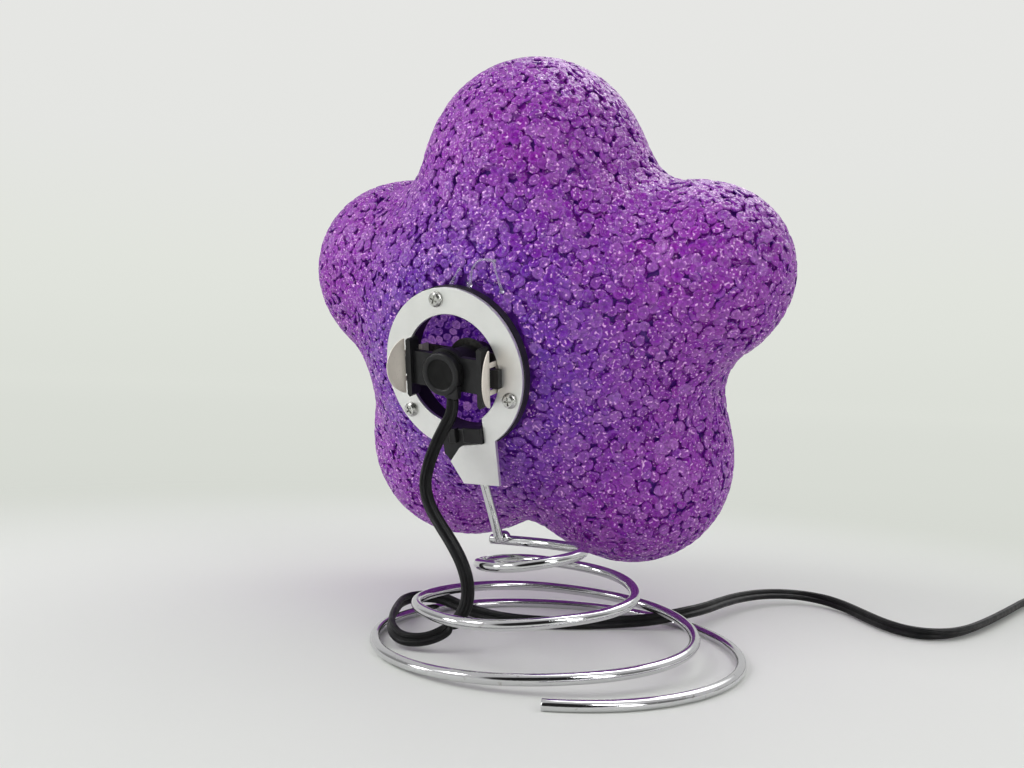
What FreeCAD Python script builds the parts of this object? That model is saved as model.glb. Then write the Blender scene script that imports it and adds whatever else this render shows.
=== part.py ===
import FreeCAD, Part
import math
import os

from FreeCAD import Placement, Rotation, Vector

# A table lamp, seen from behind by its camera: a puffy five-lobed shade on a conical coil of chromed wire.
# Millimetres. +Z is up, the shade's open back faces -Y. The origin is the middle of the footprint, on the table.

# The chromed wire and where its coil stands
wire = 5.0
coil_x = 51.6
coil_y = -45.0
flat_cut = 0.5  # how deep the coil's underside is worn flat where the lamp stands
first_turn_angle = 26.0  # the direction of the first quarter point, measured from +X
coil_reach = [24.4, 27.6, 26.6, 38.2, 45.4, 52.0, 58.6, 64.2, 70.1, 73.9, 80.2, 83.7, 87.8, 89.8]
coil_height = [46.3, 42.4, 36.9, 33.4, 29.2, 22.4, 17.4, 14.9, 10.7, 6.0, 2.0, 2.0, 2.0, 2.0]
coil_drift = (3.3, 1.0)  # how far each turn's centre lies from the last one's
coil_quarters = 12.967  # where the wire is cut, in quarter turns

# The ring plate on the back of the shade, and the lean of everything that it carries
plate_x = coil_x - 52.6
plate_y = coil_y - 8.2
plate_z = 127.8
lean = 15.3
plate_outer = 41.0
plate_inner = 27.8
plate_thick = 1.8
gap_left_outer = 244.5  # angles of the cut end of the ring's left arm
gap_left_inner = 249.5
tab_left = 15.0
tab_right = 21.3
tab_bottom = -58.7
heel_x = -7.4
heel_z = -47.6
toe_x = -0.6
instep_x = 0.0
instep_z = -39.0
screw_circle = 35.5
screw_angles = [97.0, 217.0, 337.0]
screw_head = 3.9
screw_head_height = 2.3
screw_shank = 1.5

# The upright behind the tab
rod_top = (7.4, -48.8)
rod_foot = (14.6, -89.5)

# The black collar between the plate and the shade
collar_outer = 41.5
collar_flange = 4.6
collar_spigot = 37.6
collar_bore = 30.8
collar_depth = 13.0
lug_left = -12.0
lug_right = 17.0
lug_bottom = -47.2

# The shade: five tapered lobes round one centre, blended, with a wall of fused pellets
lobe_angles = [86.3, 159.1, 229.0, 304.0, 377.3]  # measured from +X, the top one first
lobe_lengths = [89.0, 100.9, 90.9, 88.6, 104.7]
lobe_tips = [57.3, 51.1, 56.5, 54.2, 43.4]
lobe_root = 66.7
core = 75.1
blend = 13.6
shade_wall = 3.2
shade_aside = -0.8  # where its centre lies from the middle of the hole
shade_rise = 2.0
shade_hole = 38.0
seat_drop = 11.0  # how far the flat round the hole lies inside the rounded back

# The socket
socket_turn = -6.0
cap_radius = 10.7
cap_face = -10.0
cap_back = -4.65
cap_recess = 7.6
barrel_radius = 9.6
barrel_end = 27.4
shell_inner = 6.1
shell_wall = 0.4
bridge_half = 22.6
bridge_disc = 12.0
end_plate_thick = 2.8
end_plate_half = 15.0
clip_reach = 25.1
clip_thick = 0.6
clip_half = 8.0
clip_root = 15.0
finger_half = 14.0
finger_length = 11.0
finger_flare = 33.0
neck_x = 5.4
neck_y = -7.2
neck_end = -11.6

# The bulb
bulb_cap_radius = 5.9
bulb_radius = 11.0
bulb_tip = 66.0

# The flat lead: its width, and the points that it runs through, measured from the coil's axis
cord_width = 6.1
lead_points = [
    (-48.45, -11.95, 114.2),
    (-49.2, -10.1, 107.5),
    (-53.4, -10.4, 100.3),
    (-57.3, -12.2, 91.0),
    (-59.6, -14.4, 81.0),
    (-60.0, -16.3, 71.0),
    (-54.5, -18.5, 61.5),
    (-46.0, -21.0, 54.2),
    (-36.5, -23.8, 47.0),
    (-27.8, -26.2, 38.5),
    (-22.8, -27.6, 29.0),
    (-21.2, -30.8, 19.5),
    (-24.8, -36.8, 11.0),
    (-32.0, -44.5, 5.8),
    (-43.5, -48.5, 4.6),
    (-54.8, -43.5, 7.0),
    (-65.0, -30.5, 8.5),
    (-75.5, -14.0, 8.6),
    (-83.5, 0.0, 8.4),
    (-84.5, 13.0, 8.3),
    (-75.0, 20.8, 8.2),
    (-62.0, 21.6, 5.0),
    (-47.0, 21.0, 3.4),
    (-30.0, 22.0, 3.3),
    (-13.0, 30.5, 3.4),
    (1.5, 44.0, 3.3),
    (13.0, 56.5, 3.6),
    (26.5, 65.5, 5.4),
    (38.0, 76.5, 8.7),
    (42.3, 94.5, 8.9),
    (42.4, 118.5, 8.4),
    (43.8, 143.5, 7.6),
    (49.5, 167.5, 6.6),
    (60.5, 185.0, 5.4),
    (75.5, 191.0, 4.3),
    (91.5, 183.0, 3.5),
    (106.5, 167.5, 3.3),
    (121.0, 152.5, 3.4),
    (136.0, 145.0, 3.3),
    (149.5, 152.5, 3.4),
    (157.5, 174.0, 3.3),
    (163.0, 204.0, 3.4),
    (168.0, 243.0, 3.3),
    (172.5, 282.0, 3.4),
    (180.5, 310.0, 3.3),
    (194.5, 324.0, 3.8),
    (208.0, 319.5, 5.2),
    (214.0, 306.0, 7.2),
    (215.0, 290.5, 8.2),
]

# The rotary switch on the lead
switch_x = 215.0
switch_near = 230.5
switch_far = 290.5
switch_half = 12.5
switch_height = 16.4
switch_middle = 8.2
wheel_radius = 9.5
wheel_offset = 6.5
wheel_thick = 4.4
wheel_flutes = 16
flute_depth = 0.7
axle_radius = 2.0

# The lead put away: a small two-layer coil, then the plug
tail_points = [(215.0, 230.5, 8.2), (215.0, 218.5, 7.6), (215.0, 204.0, 3.3), (215.0, 191.1, 3.3)]
bundle_x = 255.0
bundle_y = 185.0
bundle_outer = 40.0
bundle_turns = 2
bundle_pitch = 6.7
bundle_layer = 6.65
bundle_base = 3.3
bundle_tuck = 1.2  # how far the turn that climbs swings inward, clear of the one beside it
relief_length = 25.0
plug_length = 27.0
blade_length = 16.0


def unit(vector):
    return vector * (1.0 / vector.Length)


def box(x0, x1, y0, y1, z0, z1):
    return Part.makeBox(x1 - x0, y1 - y0, z1 - z0, Vector(x0, y0, z0))


def rod_between(start, end, radius):
    return Part.makeCylinder(radius, (end - start).Length, start, end - start)


def spun(profile, axis=Vector(0, 1, 0), centre=Vector(0, 0, 0)):
    """A solid of revolution from (radius, distance along the axis) pairs, the axis along Y."""
    points = [centre + Vector(radius, along, 0) for radius, along in profile]
    outline = Part.makePolygon(points + [points[0]])
    return Part.Face(outline).revolve(centre, axis, 360)


def nearest_edges(shape, test):
    return [edge for edge in shape.Edges if test(edge)]


def along_y(edge):
    first, last = edge.Vertexes[0].Point, edge.Vertexes[-1].Point
    return abs(first.x - last.x) < 1e-6 and abs(first.z - last.z) < 1e-6


# Places in the head are given as if the plate stood upright with its face in the XZ plane, and then leaned.

head = Placement(Vector(plate_x, plate_y, plate_z), Rotation(Vector(1, 0, 0), lean))
socket = head.multiply(Placement(Vector(0, 0, 0), Rotation(Vector(0, 1, 0), -socket_turn)))


def placed(shape, placement):
    """A copy of a shape, moved by a placement."""
    moved = shape.copy()
    moved.Placement = placement.multiply(moved.Placement)
    return moved


# The shade


def lobe_distance(x, y, z, angle, length, tip):
    """How far a point is outside one lobe, which tapers from its root at the centre to its tip."""
    along = x * math.cos(angle) + z * math.sin(angle)
    share = min(1.0, max(0.0, along / length))
    dx = x - share * length * math.cos(angle)
    dz = z - share * length * math.sin(angle)
    return math.sqrt(dx * dx + y * y + dz * dz) - lobe_root - (tip - lobe_root) * share


def star_distance(x, y, z):
    """How far a point is outside the five lobes and the core, melted into one another."""
    distances = [math.sqrt(x * x + y * y + z * z) - core]
    for angle, length, tip in zip(lobe_angles, lobe_lengths, lobe_tips):
        distances.append(lobe_distance(x, y, z, math.radians(angle), length, tip))
    return -blend * math.log(sum(math.exp(-d / blend) for d in distances))


def surface_along(start, direction, inset):
    """How far along a direction the blended surface lies, or one that is inset inside it."""
    low, high = 0.0, 200.0
    for _ in range(24):
        middle = (low + high) / 2
        point = start + direction * middle
        if star_distance(point.x, point.y, point.z) < -inset:
            low = middle
        else:
            high = middle
    return low


half_thick = surface_along(Vector(0, 0, 0), Vector(0, 1, 0), 0)
back_plane = -(half_thick - seat_drop)
shade_centre = Vector(shade_aside, plate_thick + collar_flange - back_plane, shade_rise)


def star_outline(y, inset, count=40):
    """The closed outline of the star at one depth, with the same spacing at every depth."""
    points = []
    for i in range(count):
        angle = math.radians(lobe_angles[0]) + 2 * math.pi * i / count
        outward = Vector(math.cos(angle), 0, math.sin(angle))
        middle = Vector(0, y, 0)
        points.append(middle + outward * surface_along(middle, outward, inset))
    curve = Part.BSplineCurve()
    curve.interpolate(Points=points, PeriodicFlag=True, Parameters=[float(i) for i in range(count + 1)])
    return Part.Wire(curve.toShape())


def star_solid(inset, first_plane, last_plane, steps):
    """Part of the star between two depths, lofted through its outlines, closer together near the front."""
    front_half = surface_along(Vector(0, 0, 0), Vector(0, 1, 0), inset)
    start = math.asin(first_plane / front_half)
    end = math.asin(min(last_plane, front_half - 0.9) / front_half)
    planes = [front_half * math.sin(start + (end - start) * i / steps) for i in range(steps + 1)]
    return Part.makeLoft([star_outline(y, inset) for y in planes], True, False)


def make_shade():
    """The two moulded halves of the shade, which meet where the star is widest."""
    back = star_solid(0, back_plane, 0, 4).cut(star_solid(shade_wall, back_plane + shade_wall, 0, 4))
    hole = Part.makeCylinder(shade_hole, 30, Vector(-shade_aside, back_plane - 5, -shade_rise), Vector(0, 1, 0))
    front = star_solid(0, 0, half_thick, 6).cut(star_solid(shade_wall, 0, half_thick, 6))
    halves = []
    for half in (back.cut(hole), front):
        half.translate(shade_centre)
        halves.append(placed(half, head))
    return halves


# The plate, the collar and what holds them


def on_circle(radius, degrees, y=0.0):
    angle = math.radians(degrees)
    return Vector(radius * math.cos(angle), y, radius * math.sin(angle))


def arc_about(radius, start, end):
    middle = on_circle(radius, (start + end) / 2)
    return Part.Arc(on_circle(radius, start), middle, on_circle(radius, end)).toShape()


def make_plate():
    outer_right = math.degrees(-math.acos(tab_right / plate_outer))
    inner_right = math.degrees(-math.acos(tab_left / plate_inner))
    corners = [
        on_circle(plate_inner, inner_right),
        Vector(tab_left, 0, -36.8),
        Vector(instep_x, 0, instep_z),
        Vector(heel_x, 0, heel_z),
        Vector(toe_x, 0, tab_bottom),
        Vector(tab_right - 0.3, 0, tab_bottom + 0.6),
        on_circle(plate_outer, outer_right),
    ]
    edges = [Part.LineSegment(a, b).toShape() for a, b in zip(corners, corners[1:])]
    edges.append(arc_about(plate_outer, outer_right, gap_left_outer))
    left_outer = on_circle(plate_outer, gap_left_outer)
    left_inner = on_circle(plate_inner, gap_left_inner)
    edges.append(Part.LineSegment(left_outer, left_inner).toShape())
    edges.append(arc_about(plate_inner, gap_left_inner, inner_right))
    outline = Part.Wire(Part.__sortEdges__(edges))
    plate = Part.Face(outline).extrude(Vector(0, plate_thick, 0))
    heel = nearest_edges(plate, lambda e: along_y(e) and -5 < e.Vertexes[0].X < 1 and e.Vertexes[0].Z > -40)
    plate = plate.makeFillet(6.0, heel)
    for angle in screw_angles:
        centre = on_circle(screw_circle, angle, -1)
        plate = plate.cut(Part.makeCylinder(screw_shank + 0.2, 5, centre, Vector(0, 1, 0)))
    rims = nearest_edges(plate, lambda e: abs(e.BoundBox.YMax) < 1e-6 and e.Length > 60)
    plate = plate.makeChamfer(0.25, rims)
    return placed(plate, head)


def make_collar():
    front = plate_thick
    back = front + collar_flange
    ring = spun(
        [
            (collar_bore + 0.6, front),
            (collar_outer - 0.5, front),
            (collar_outer, front + 0.5),
            (collar_outer, back),
            (collar_spigot, back),
            (collar_spigot, back + collar_depth - 6),
            (collar_spigot - 1.5, back + collar_depth - 4.6),
            (collar_bore, back + collar_depth - 4.6),
            (collar_bore, front + 0.6),
        ]
    )
    lug = box(lug_left, lug_right, front, back, lug_bottom, -34)
    lug = lug.cut(Part.makeCylinder(collar_bore + 3, 20, Vector(0, 0, 0), Vector(0, 1, 0)))
    corner = nearest_edges(lug, lambda e: along_y(e) and e.Vertexes[0].Z < lug_bottom + 1)
    lug = lug.makeChamfer(3.0, corner)
    block = box(3.8, 14.6, -2.6, front + 1, -36.5, -28.6)
    block = block.makeFillet(0.8, nearest_edges(block, lambda e: e.BoundBox.YMax < front))
    rib = box(-6.4, -2.2, -0.6, front + 1, -37.5, -30.2)
    rib = rib.makeFillet(0.6, nearest_edges(rib, lambda e: e.BoundBox.YMax < front))
    collar = ring.fuse([lug, block, rib]).removeSplitter()
    for angle in screw_angles:
        centre = on_circle(screw_circle, angle, front - 1)
        collar = collar.cut(Part.makeCylinder(screw_shank + 0.03, 9.5, centre, Vector(0, 1, 0)))
    return placed(collar, head)


def make_screw(angle):
    """A pan-head screw with a cross recess, seated on the plate."""
    head_shape = spun(
        [
            (0, 0),
            (screw_head, 0),
            (screw_head, -0.7),
            (screw_head - 0.4, -1.5),
            (screw_head - 1.3, -screw_head_height),
            (0, -screw_head_height - 0.1),
        ]
    )
    shank = spun([(0, 0), (screw_shank, 0), (screw_shank, 6.5), (0.4, 8.0), (0, 8.0)])
    screw = head_shape.fuse(shank).removeSplitter()
    for turn in (20, 110):
        slot = box(-2.1, 2.1, -screw_head_height - 1, -screw_head_height + 1.2, -0.45, 0.45)
        slot.rotate(Vector(0, 0, 0), Vector(0, 1, 0), turn + angle)
        screw = screw.cut(slot)
    screw.translate(on_circle(screw_circle, angle))
    return placed(screw, head)


def make_screws():
    return Part.makeCompound([make_screw(angle) for angle in screw_angles])


rod_axis_y = plate_thick + wire / 2
rod_start = head.multVec(Vector(rod_top[0], rod_axis_y, rod_top[1]))
rod_end = head.multVec(Vector(rod_foot[0], rod_axis_y, rod_foot[1]))


def make_rod():
    rod = rod_between(rod_start, rod_end, wire / 2)
    ends = nearest_edges(rod, lambda e: e.Closed)
    return rod.makeChamfer(0.5, ends)


# The coil base


def arc_from(start, tangent, end):
    """The arc that leaves start along tangent and ends at end, and its direction there."""
    chord = end - start
    across = unit(chord)
    angle = tangent.getAngle(chord)
    if angle < 1e-5:
        return Part.LineSegment(start, end).toShape(), tangent
    side = unit(tangent - across * tangent.dot(across))
    middle = start + chord * 0.5 + side * (chord.Length / 2 * math.tan(angle / 2))
    return Part.Arc(start, middle, end).toShape(), across * (2 * across.dot(tangent)) - tangent


def biarc(start, tangent, end, end_tangent):
    """Two arcs that join two points smoothly."""
    chord = end - start
    both = tangent + end_tangent
    a = 2 * (1 - tangent.dot(end_tangent))
    b = chord.dot(both)
    c = chord.dot(chord)
    handle = (math.sqrt(b * b + a * c) - b) / a if a > 1e-9 else c / (2 * b)
    joint = (start + tangent * handle + end - end_tangent * handle) * 0.5
    first, turned = arc_from(start, tangent, joint)
    second, _ = arc_from(joint, turned, end)
    return [first, second]


def smooth_tube(points, tangents, radius, straight_ends=0.0):
    """A round tube through points with given directions, in one piece."""
    edges = []
    if straight_ends:
        before = points[0] - tangents[0] * straight_ends
        edges.append(Part.LineSegment(before, points[0]).toShape())
    for i in range(len(points) - 1):
        edges += biarc(points[i], tangents[i], points[i + 1], tangents[i + 1])
    if straight_ends:
        after = points[-1] + tangents[-1] * straight_ends
        edges.append(Part.LineSegment(points[-1], after).toShape())
    path = Part.Wire(edges)
    start = edges[0].valueAt(edges[0].FirstParameter)
    disc = Part.Wire(Part.makeCircle(radius, start, tangents[0]))
    return path, path.makePipeShell([disc], True, False)


def coil_knots():
    """The wire's centre line: its end behind the upright, then a point each quarter turn, clockwise."""
    foot = rod_end + Vector(0, wire + 0.05, 0)
    points = [foot + Vector(-8.7, -0.1, -0.5), foot, foot + Vector(36.0, -4.8, 2.2)]
    for i, (size, height) in enumerate(zip(coil_reach, coil_height)):
        quarters = min(i, coil_quarters)
        angle = math.radians(first_turn_angle - 90 * quarters)
        turns_from_middle = (quarters - 7) / 4
        x = coil_x + coil_drift[0] * turns_from_middle + size * math.cos(angle)
        y = coil_y + coil_drift[1] * turns_from_middle + size * math.sin(angle)
        points.append(Vector(x, y, height))
    tangents = [unit(points[1] - points[0])]
    for before, here, after in zip(points, points[1:], points[2:]):
        arriving = here - before
        leaving = after - here
        tangents.append(unit(unit(arriving) * (1 / arriving.Length) + unit(leaving) * (1 / leaving.Length)))
    along = unit(points[-1] - points[-2])
    tangents.append(unit(along * 2 * along.dot(tangents[-1]) - tangents[-1]))
    level = wire / 2 - flat_cut + 1e-6
    for i, point in enumerate(points):
        if point.z <= level:
            tangents[i] = unit(Vector(tangents[i].x, tangents[i].y, 0))
    return points, tangents


def least_gap(path, diameter):
    """The smallest space between turns of a tube, from points every few millimetres."""
    points = path.discretize(Distance=3.0)
    apart = int(4 * diameter / 3.0)
    least = 1e9
    for i in range(len(points)):
        for j in range(i + apart, len(points)):
            least = min(least, (points[i] - points[j]).Length)
    return least - diameter


def make_coil():
    points, tangents = coil_knots()
    path, tube = smooth_tube(points, tangents, wire / 2)
    print("coil base: wire %.0f mm long, least gap to itself %.1f mm" % (path.Length, least_gap(path, wire)))
    floor = box(coil_x - 150, coil_x + 150, coil_y - 150, coil_y + 150, -20, 0)
    return tube.cut(floor)


def make_welds(rod, plate, coil):
    """The beads of weld at the upright's foot and along its top, against what they join."""
    foot_bead = Part.makeSphere(3.4, rod_end + Vector(0.6, 2.6, 1.8))
    beads = [foot_bead]
    for side in (-1, 1):
        spot = Vector(rod_top[0] + 0.9 + side * 2.3, plate_thick + 0.5, rod_top[1] - 4.6)
        beads.append(Part.makeSphere(1.5, head.multVec(spot)))
    solids = []
    for bead in beads:
        rest = bead.cut(rod).cut(coil).cut(plate)
        solids += [s for s in rest.Solids if s.Volume > 1.0]
    return Part.makeCompound(solids)


def make_glue(collar, shade):
    """Three blobs of clear glue in the corner between the collar and the shade."""
    solids = []
    for angle, size in ((62, 2.6), (84, 2.2), (104, 2.4)):
        spot = on_circle(collar_outer + size * 0.9, angle, plate_thick + collar_flange - 1.2)
        blob = Part.makeSphere(size, head.multVec(spot)).cut(collar).cut(shade)
        solids += [s for s in blob.Solids if s.Volume > 1.0]
    return Part.makeCompound(solids)


# The socket, in its own frame: the plate's face is the XZ plane and the bulb points along +Y


def make_socket_cap():
    cap = spun(
        [
            (0, cap_face + 0.8),
            (cap_recess, cap_face + 0.8),
            (cap_recess + 0.5, cap_face),
            (cap_radius - 0.8, cap_face),
            (cap_radius, cap_face + 0.8),
            (cap_radius, cap_back),
            (0, cap_back),
        ]
    )
    neck = box(neck_x - 4.1, neck_x + 4.1, neck_y - 2.55, cap_back, neck_end, 0)
    front = nearest_edges(neck, lambda e: e.BoundBox.ZLength > 5 and e.BoundBox.YMax < cap_back)
    neck = neck.makeFillet(1.2, front)
    hollow = Part.makeCylinder(6.0, 3.9, Vector(0, cap_back - 3.9, 0), Vector(0, 1, 0))
    return cap.fuse(neck).removeSplitter().cut(hollow)


def make_barrel():
    return spun(
        [
            (0, cap_back),
            (barrel_radius + 0.7, cap_back),
            (barrel_radius + 0.7, -0.4),
            (barrel_radius, -0.2),
            (barrel_radius, clip_root + 1.0),
            (barrel_radius - 0.6, clip_root + 1.0),
            (barrel_radius - 0.6, barrel_end - 1.0),
            (barrel_radius - 1.2, barrel_end),
            (shell_inner + shell_wall, barrel_end),
            (shell_inner + shell_wall, 9.0),
            (2.0, 9.0),
            (2.0, 3.0),
            (0, 3.0),
        ]
    )


def make_bridge():
    """The crossbar, its two end plates that bear on the ring, and their lugs."""
    bar = box(-bridge_half + 1, bridge_half - 1, -4.6, -1.2, -8.5, 8.5)
    pieces = [Part.makeCylinder(bridge_disc, 3.4, Vector(0, -4.6, 0), Vector(0, 1, 0))]
    for side in (-1, 1):
        inner, outer = sorted((side * (bridge_half - end_plate_thick), side * bridge_half))
        plate = box(inner, outer, -7.0, 0.0, -end_plate_half, end_plate_half)
        ends = nearest_edges(plate, lambda e: e.BoundBox.YLength > 6)
        plate = plate.makeChamfer(1.2, ends)
        lug_inner, lug_outer = sorted((side * (bridge_half - 0.5), side * (bridge_half + 7.0)))
        lug = box(lug_inner, lug_outer, -3.4, 0.0, -4.6, 4.6)
        pieces += [plate, lug]
    bridge = bar.fuse(pieces).removeSplitter()
    return bridge.cut(Part.makeCylinder(barrel_radius + 0.72, 30, Vector(0, -15, 0), Vector(0, 1, 0)))


def make_strap():
    """The fixed spring-steel strap that rings the barrel and carries both clips."""
    strap = box(-clip_reach - clip_thick, clip_reach + clip_thick, clip_root + 0.3, clip_root + 1.0, -7, 7)
    round_part = Part.makeCylinder(13.0, 0.7, Vector(0, clip_root + 0.3, 0), Vector(0, 1, 0))
    strap = strap.fuse(round_part).removeSplitter()
    return strap.cut(Part.makeCylinder(barrel_radius + 0.05, 10, Vector(0, clip_root - 5, 0), Vector(0, 1, 0)))


def make_clip(side):
    """One sprung leg with its catch and its half-round finger tab, drawn for +X and mirrored for -X."""
    flare = math.radians(finger_flare)
    bend = clip_thick / 2
    line = [
        (clip_reach, clip_root - bend),
        (clip_reach, 9.5),
        (clip_reach + 2.9, 4.6),
        (clip_reach + 0.3, 2.0),
        (clip_reach, -4.6),
    ]
    inner = [Vector(x, y, -clip_half) for x, y in line]
    outer = [Vector(x + clip_thick, y, -clip_half) for x, y in reversed(line)]
    rounded = Part.Arc(outer[-1], Vector(clip_reach + bend, clip_root, -clip_half), inner[0]).toShape()
    outline = Part.Wire(Part.makePolygon(inner + outer).Edges + [rounded])
    leg = Part.Face(outline).extrude(Vector(0, 0, 2 * clip_half))
    window = box(clip_reach - 2, clip_reach + 3, -4.1, 0.7, -5.4, 5.4)
    foot = Vector(clip_reach, -4.6, 0)
    outward = Vector(math.sin(flare), -math.cos(flare), 0)
    thickness = Vector(math.cos(flare), math.sin(flare), 0) * clip_thick
    base = 0.8
    start = foot + Vector(0, 0, -finger_half)
    end = foot + Vector(0, 0, finger_half)
    start_up = start + outward * base
    end_up = end + outward * base
    tip = foot + outward * (base + finger_length - 1.0)
    edges = [
        Part.LineSegment(end, start).toShape(),
        Part.LineSegment(start, start_up).toShape(),
        Part.Arc(start_up, tip, end_up).toShape(),
        Part.LineSegment(end_up, end).toShape(),
    ]
    finger = Part.Face(Part.Wire(edges)).extrude(thickness)
    clip = leg.cut(window).fuse(finger).removeSplitter()
    if side < 0:
        clip = clip.mirror(Vector(0, 0, 0), Vector(1, 0, 0))
    return clip


def make_rivets():
    rivets = []
    for side in (-1, 1):
        shank = spun([(0, clip_root - 0.6), (1.6, clip_root - 0.6), (1.6, clip_root + 0.3), (0, clip_root + 0.3)])
        crown = spun([(0, clip_root + 1.0), (1.7, clip_root + 1.0), (1.2, clip_root + 1.8), (0, clip_root + 1.9)])
        for piece in (shank, crown):
            piece.translate(Vector(side * 19.0, 0, 0))
            rivets.append(piece)
    return rivets


def make_screw_shell():
    outer = shell_inner + shell_wall - 0.02
    return spun(
        [
            (shell_inner, 11.0),
            (outer, 11.0),
            (outer, barrel_end - 1.5),
            (shell_inner, barrel_end - 1.5),
        ]
    )


def make_insulator():
    outer = shell_inner + shell_wall - 0.05
    return spun([(2.3, 9.0), (outer, 9.0), (outer, 10.4), (2.3, 10.4)])


def make_centre_contact():
    base = box(-2.4, 2.4, 10.4, 10.8, -4.6, 1.5)
    blade = box(-1.6, 1.6, 10.8, 12.2, -4.6, -4.2)
    spring = box(-1.6, 1.6, 12.2, 12.6, -4.6, 2.2)
    return base.fuse([blade, spring]).removeSplitter()


def make_contact_rivet():
    return spun([(0, 3.0), (1.6, 3.0), (1.6, 9.0), (2.2, 9.0), (2.2, 10.4), (0, 10.4)])


def make_terminals():
    """The two crimped ends of the lead's conductors, in the cap's chamber."""
    pieces = []
    for side in (-1, 1):
        barrel = Part.makeCylinder(1.3, 5.0, Vector(side * 2.8, cap_back - 2.0, -2.5), Vector(0, 0, 1))
        pieces.append(barrel)
    return pieces


# The bulb


def make_bulb_cap():
    r = bulb_cap_radius
    return spun(
        [
            (r - 0.3, 15.5),
            (r - 0.9, 14.2),
            (r - 0.6, 14.2),
            (r, 15.5),
            (r, 27.5),
            (r + 0.6, 28.6),
            (r + 0.3, 28.6),
            (r - 0.3, 27.6),
        ]
    )


def bulb_profile(inset):
    """The night-light bulb's outline as arcs and lines: a neck, a swelling and a tip."""
    neck = Vector(bulb_cap_radius - 0.4 - inset, 27.8, 0)
    waist = Vector(bulb_cap_radius + 1.6 - inset, 32.5, 0)
    belly = Vector(bulb_radius - inset, 44.0, 0)
    shoulder = Vector(bulb_radius * 0.62 - inset * 0.8, 59.0, 0)
    tip = Vector(0, bulb_tip - inset, 0)
    return neck, waist, belly, shoulder, tip


def make_bulb_glass():
    faces = []
    for inset in (0.0, 0.6):
        neck, waist, belly, shoulder, tip = bulb_profile(inset)
        side = Part.BSplineCurve()
        outline = [neck, waist, belly, shoulder, tip]
        side.interpolate(outline, InitialTangent=Vector(0.3, 1, 0), FinalTangent=Vector(-1, 0, 0))
        edges = [
            side.toShape(),
            Part.LineSegment(tip, Vector(0, 27.8, 0)).toShape(),
            Part.LineSegment(Vector(0, 27.8, 0), neck).toShape(),
        ]
        faces.append(Part.Face(Part.Wire(edges)).revolve(Vector(0, 0, 0), Vector(0, 1, 0), 360))
    return faces[0].cut(faces[1])


def make_bulb_insulator():
    r = bulb_cap_radius
    return spun([(1.8, 13.5), (r - 1.0, 14.1), (r - 1.0, 15.2), (1.8, 15.2)])


def make_bulb_contact():
    return spun([(0, 12.6), (1.3, 12.8), (1.75, 13.4), (1.75, 14.8), (0, 14.8)])


def make_bulb_stem():
    return spun([(0, 28.0), (2.6, 28.0), (1.5, 33.0), (1.2, 40.0), (0, 40.0)])


def make_filament():
    """Two support wires and the coiled filament between their hooks."""
    left = rod_between(Vector(-1.7, 40.3, 0), Vector(-4.5, 47.0, 0), 0.3)
    right = rod_between(Vector(1.7, 40.3, 0), Vector(4.5, 47.0, 0), 0.3)
    foot = box(-2.0, 2.0, 40.0, 40.5, -0.3, 0.3)
    coil = rod_between(Vector(-4.5, 47.0, 0), Vector(4.5, 47.0, 0), 0.5)
    return left.fuse([right, foot, coil]).removeSplitter()


# The flat lead, as a tube of its width


def from_coil(points):
    return [Vector(coil_x + x, coil_y + y, z) for x, y, z in points]


def cord_path(name, points):
    """Straight runs joined by tangent arcs, each as large as its two runs allow."""
    edges = []
    radii = []
    start = points[0]
    for before, corner, after in zip(points, points[1:], points[2:]):
        incoming = corner - before
        outgoing = after - corner
        turn = incoming.getAngle(outgoing)
        setback = 0.45 * min(incoming.Length, outgoing.Length)
        radius = setback / math.tan(turn / 2)
        begin = corner - unit(incoming) * setback
        end = corner + unit(outgoing) * setback
        inward = unit(unit(begin - corner) + unit(end - corner))
        middle = corner + inward * (radius / math.cos(turn / 2) - radius)
        edges.append(Part.LineSegment(start, begin).toShape())
        edges.append(Part.Arc(begin, middle, end).toShape())
        radii.append(radius)
        start = end
    edges.append(Part.LineSegment(start, points[-1]).toShape())
    path = Part.Wire(edges)
    print("%s: %.0f mm long, radii %s" % (name, path.Length, " ".join("%.0f" % r for r in radii)))
    return path


def cord_tube(name, points):
    path = cord_path(name, points)
    disc = Part.Wire(Part.makeCircle(cord_width / 2, points[0], points[1] - points[0]))
    tube = path.makePipeShell([disc], True, False)
    expected = path.Length * math.pi * (cord_width / 2) ** 2
    print("%s: volume %.0f, section times length %.0f" % (name, tube.Volume, expected))
    return tube


def bundle_knots():
    """The put-away turns: in on the lower layer, up in half a turn, and out again on the upper one."""
    inner = bundle_outer - bundle_turns * bundle_pitch
    points = []
    quarters = int(8 * bundle_turns + 2)
    for i in range(quarters + 1):
        turn = i / 4.0
        if turn <= bundle_turns:
            size = bundle_outer - bundle_pitch * turn
            height = bundle_base
        elif turn <= bundle_turns + 0.5:
            size = inner - bundle_tuck * math.sin(2 * math.pi * (turn - bundle_turns))
            height = bundle_base + bundle_layer * (turn - bundle_turns) * 2
        else:
            size = inner + bundle_pitch * (turn - bundle_turns - 0.5)
            height = bundle_base + bundle_layer
        angle = math.pi + 2 * math.pi * turn
        x = coil_x + bundle_x + size * math.cos(angle)
        y = coil_y + bundle_y + size * math.sin(angle)
        points.append(Vector(x, y, height))
    tangents = [Vector(0, -1, 0)]
    for before, here, after in zip(points, points[1:], points[2:]):
        along = after - before
        if here.z in (before.z, after.z):
            along.z = 0
        tangents.append(unit(along))
    tangents.append(Vector(0, 1, 0))
    return points, tangents


def make_bundle():
    points, tangents = bundle_knots()
    path, tube = smooth_tube(points, tangents, cord_width / 2, cord_width)
    print("cord coil: %.0f mm long, least gap to itself %.2f mm" % (path.Length, least_gap(path, cord_width)))
    return tube


# The rotary switch on the lead


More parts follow.
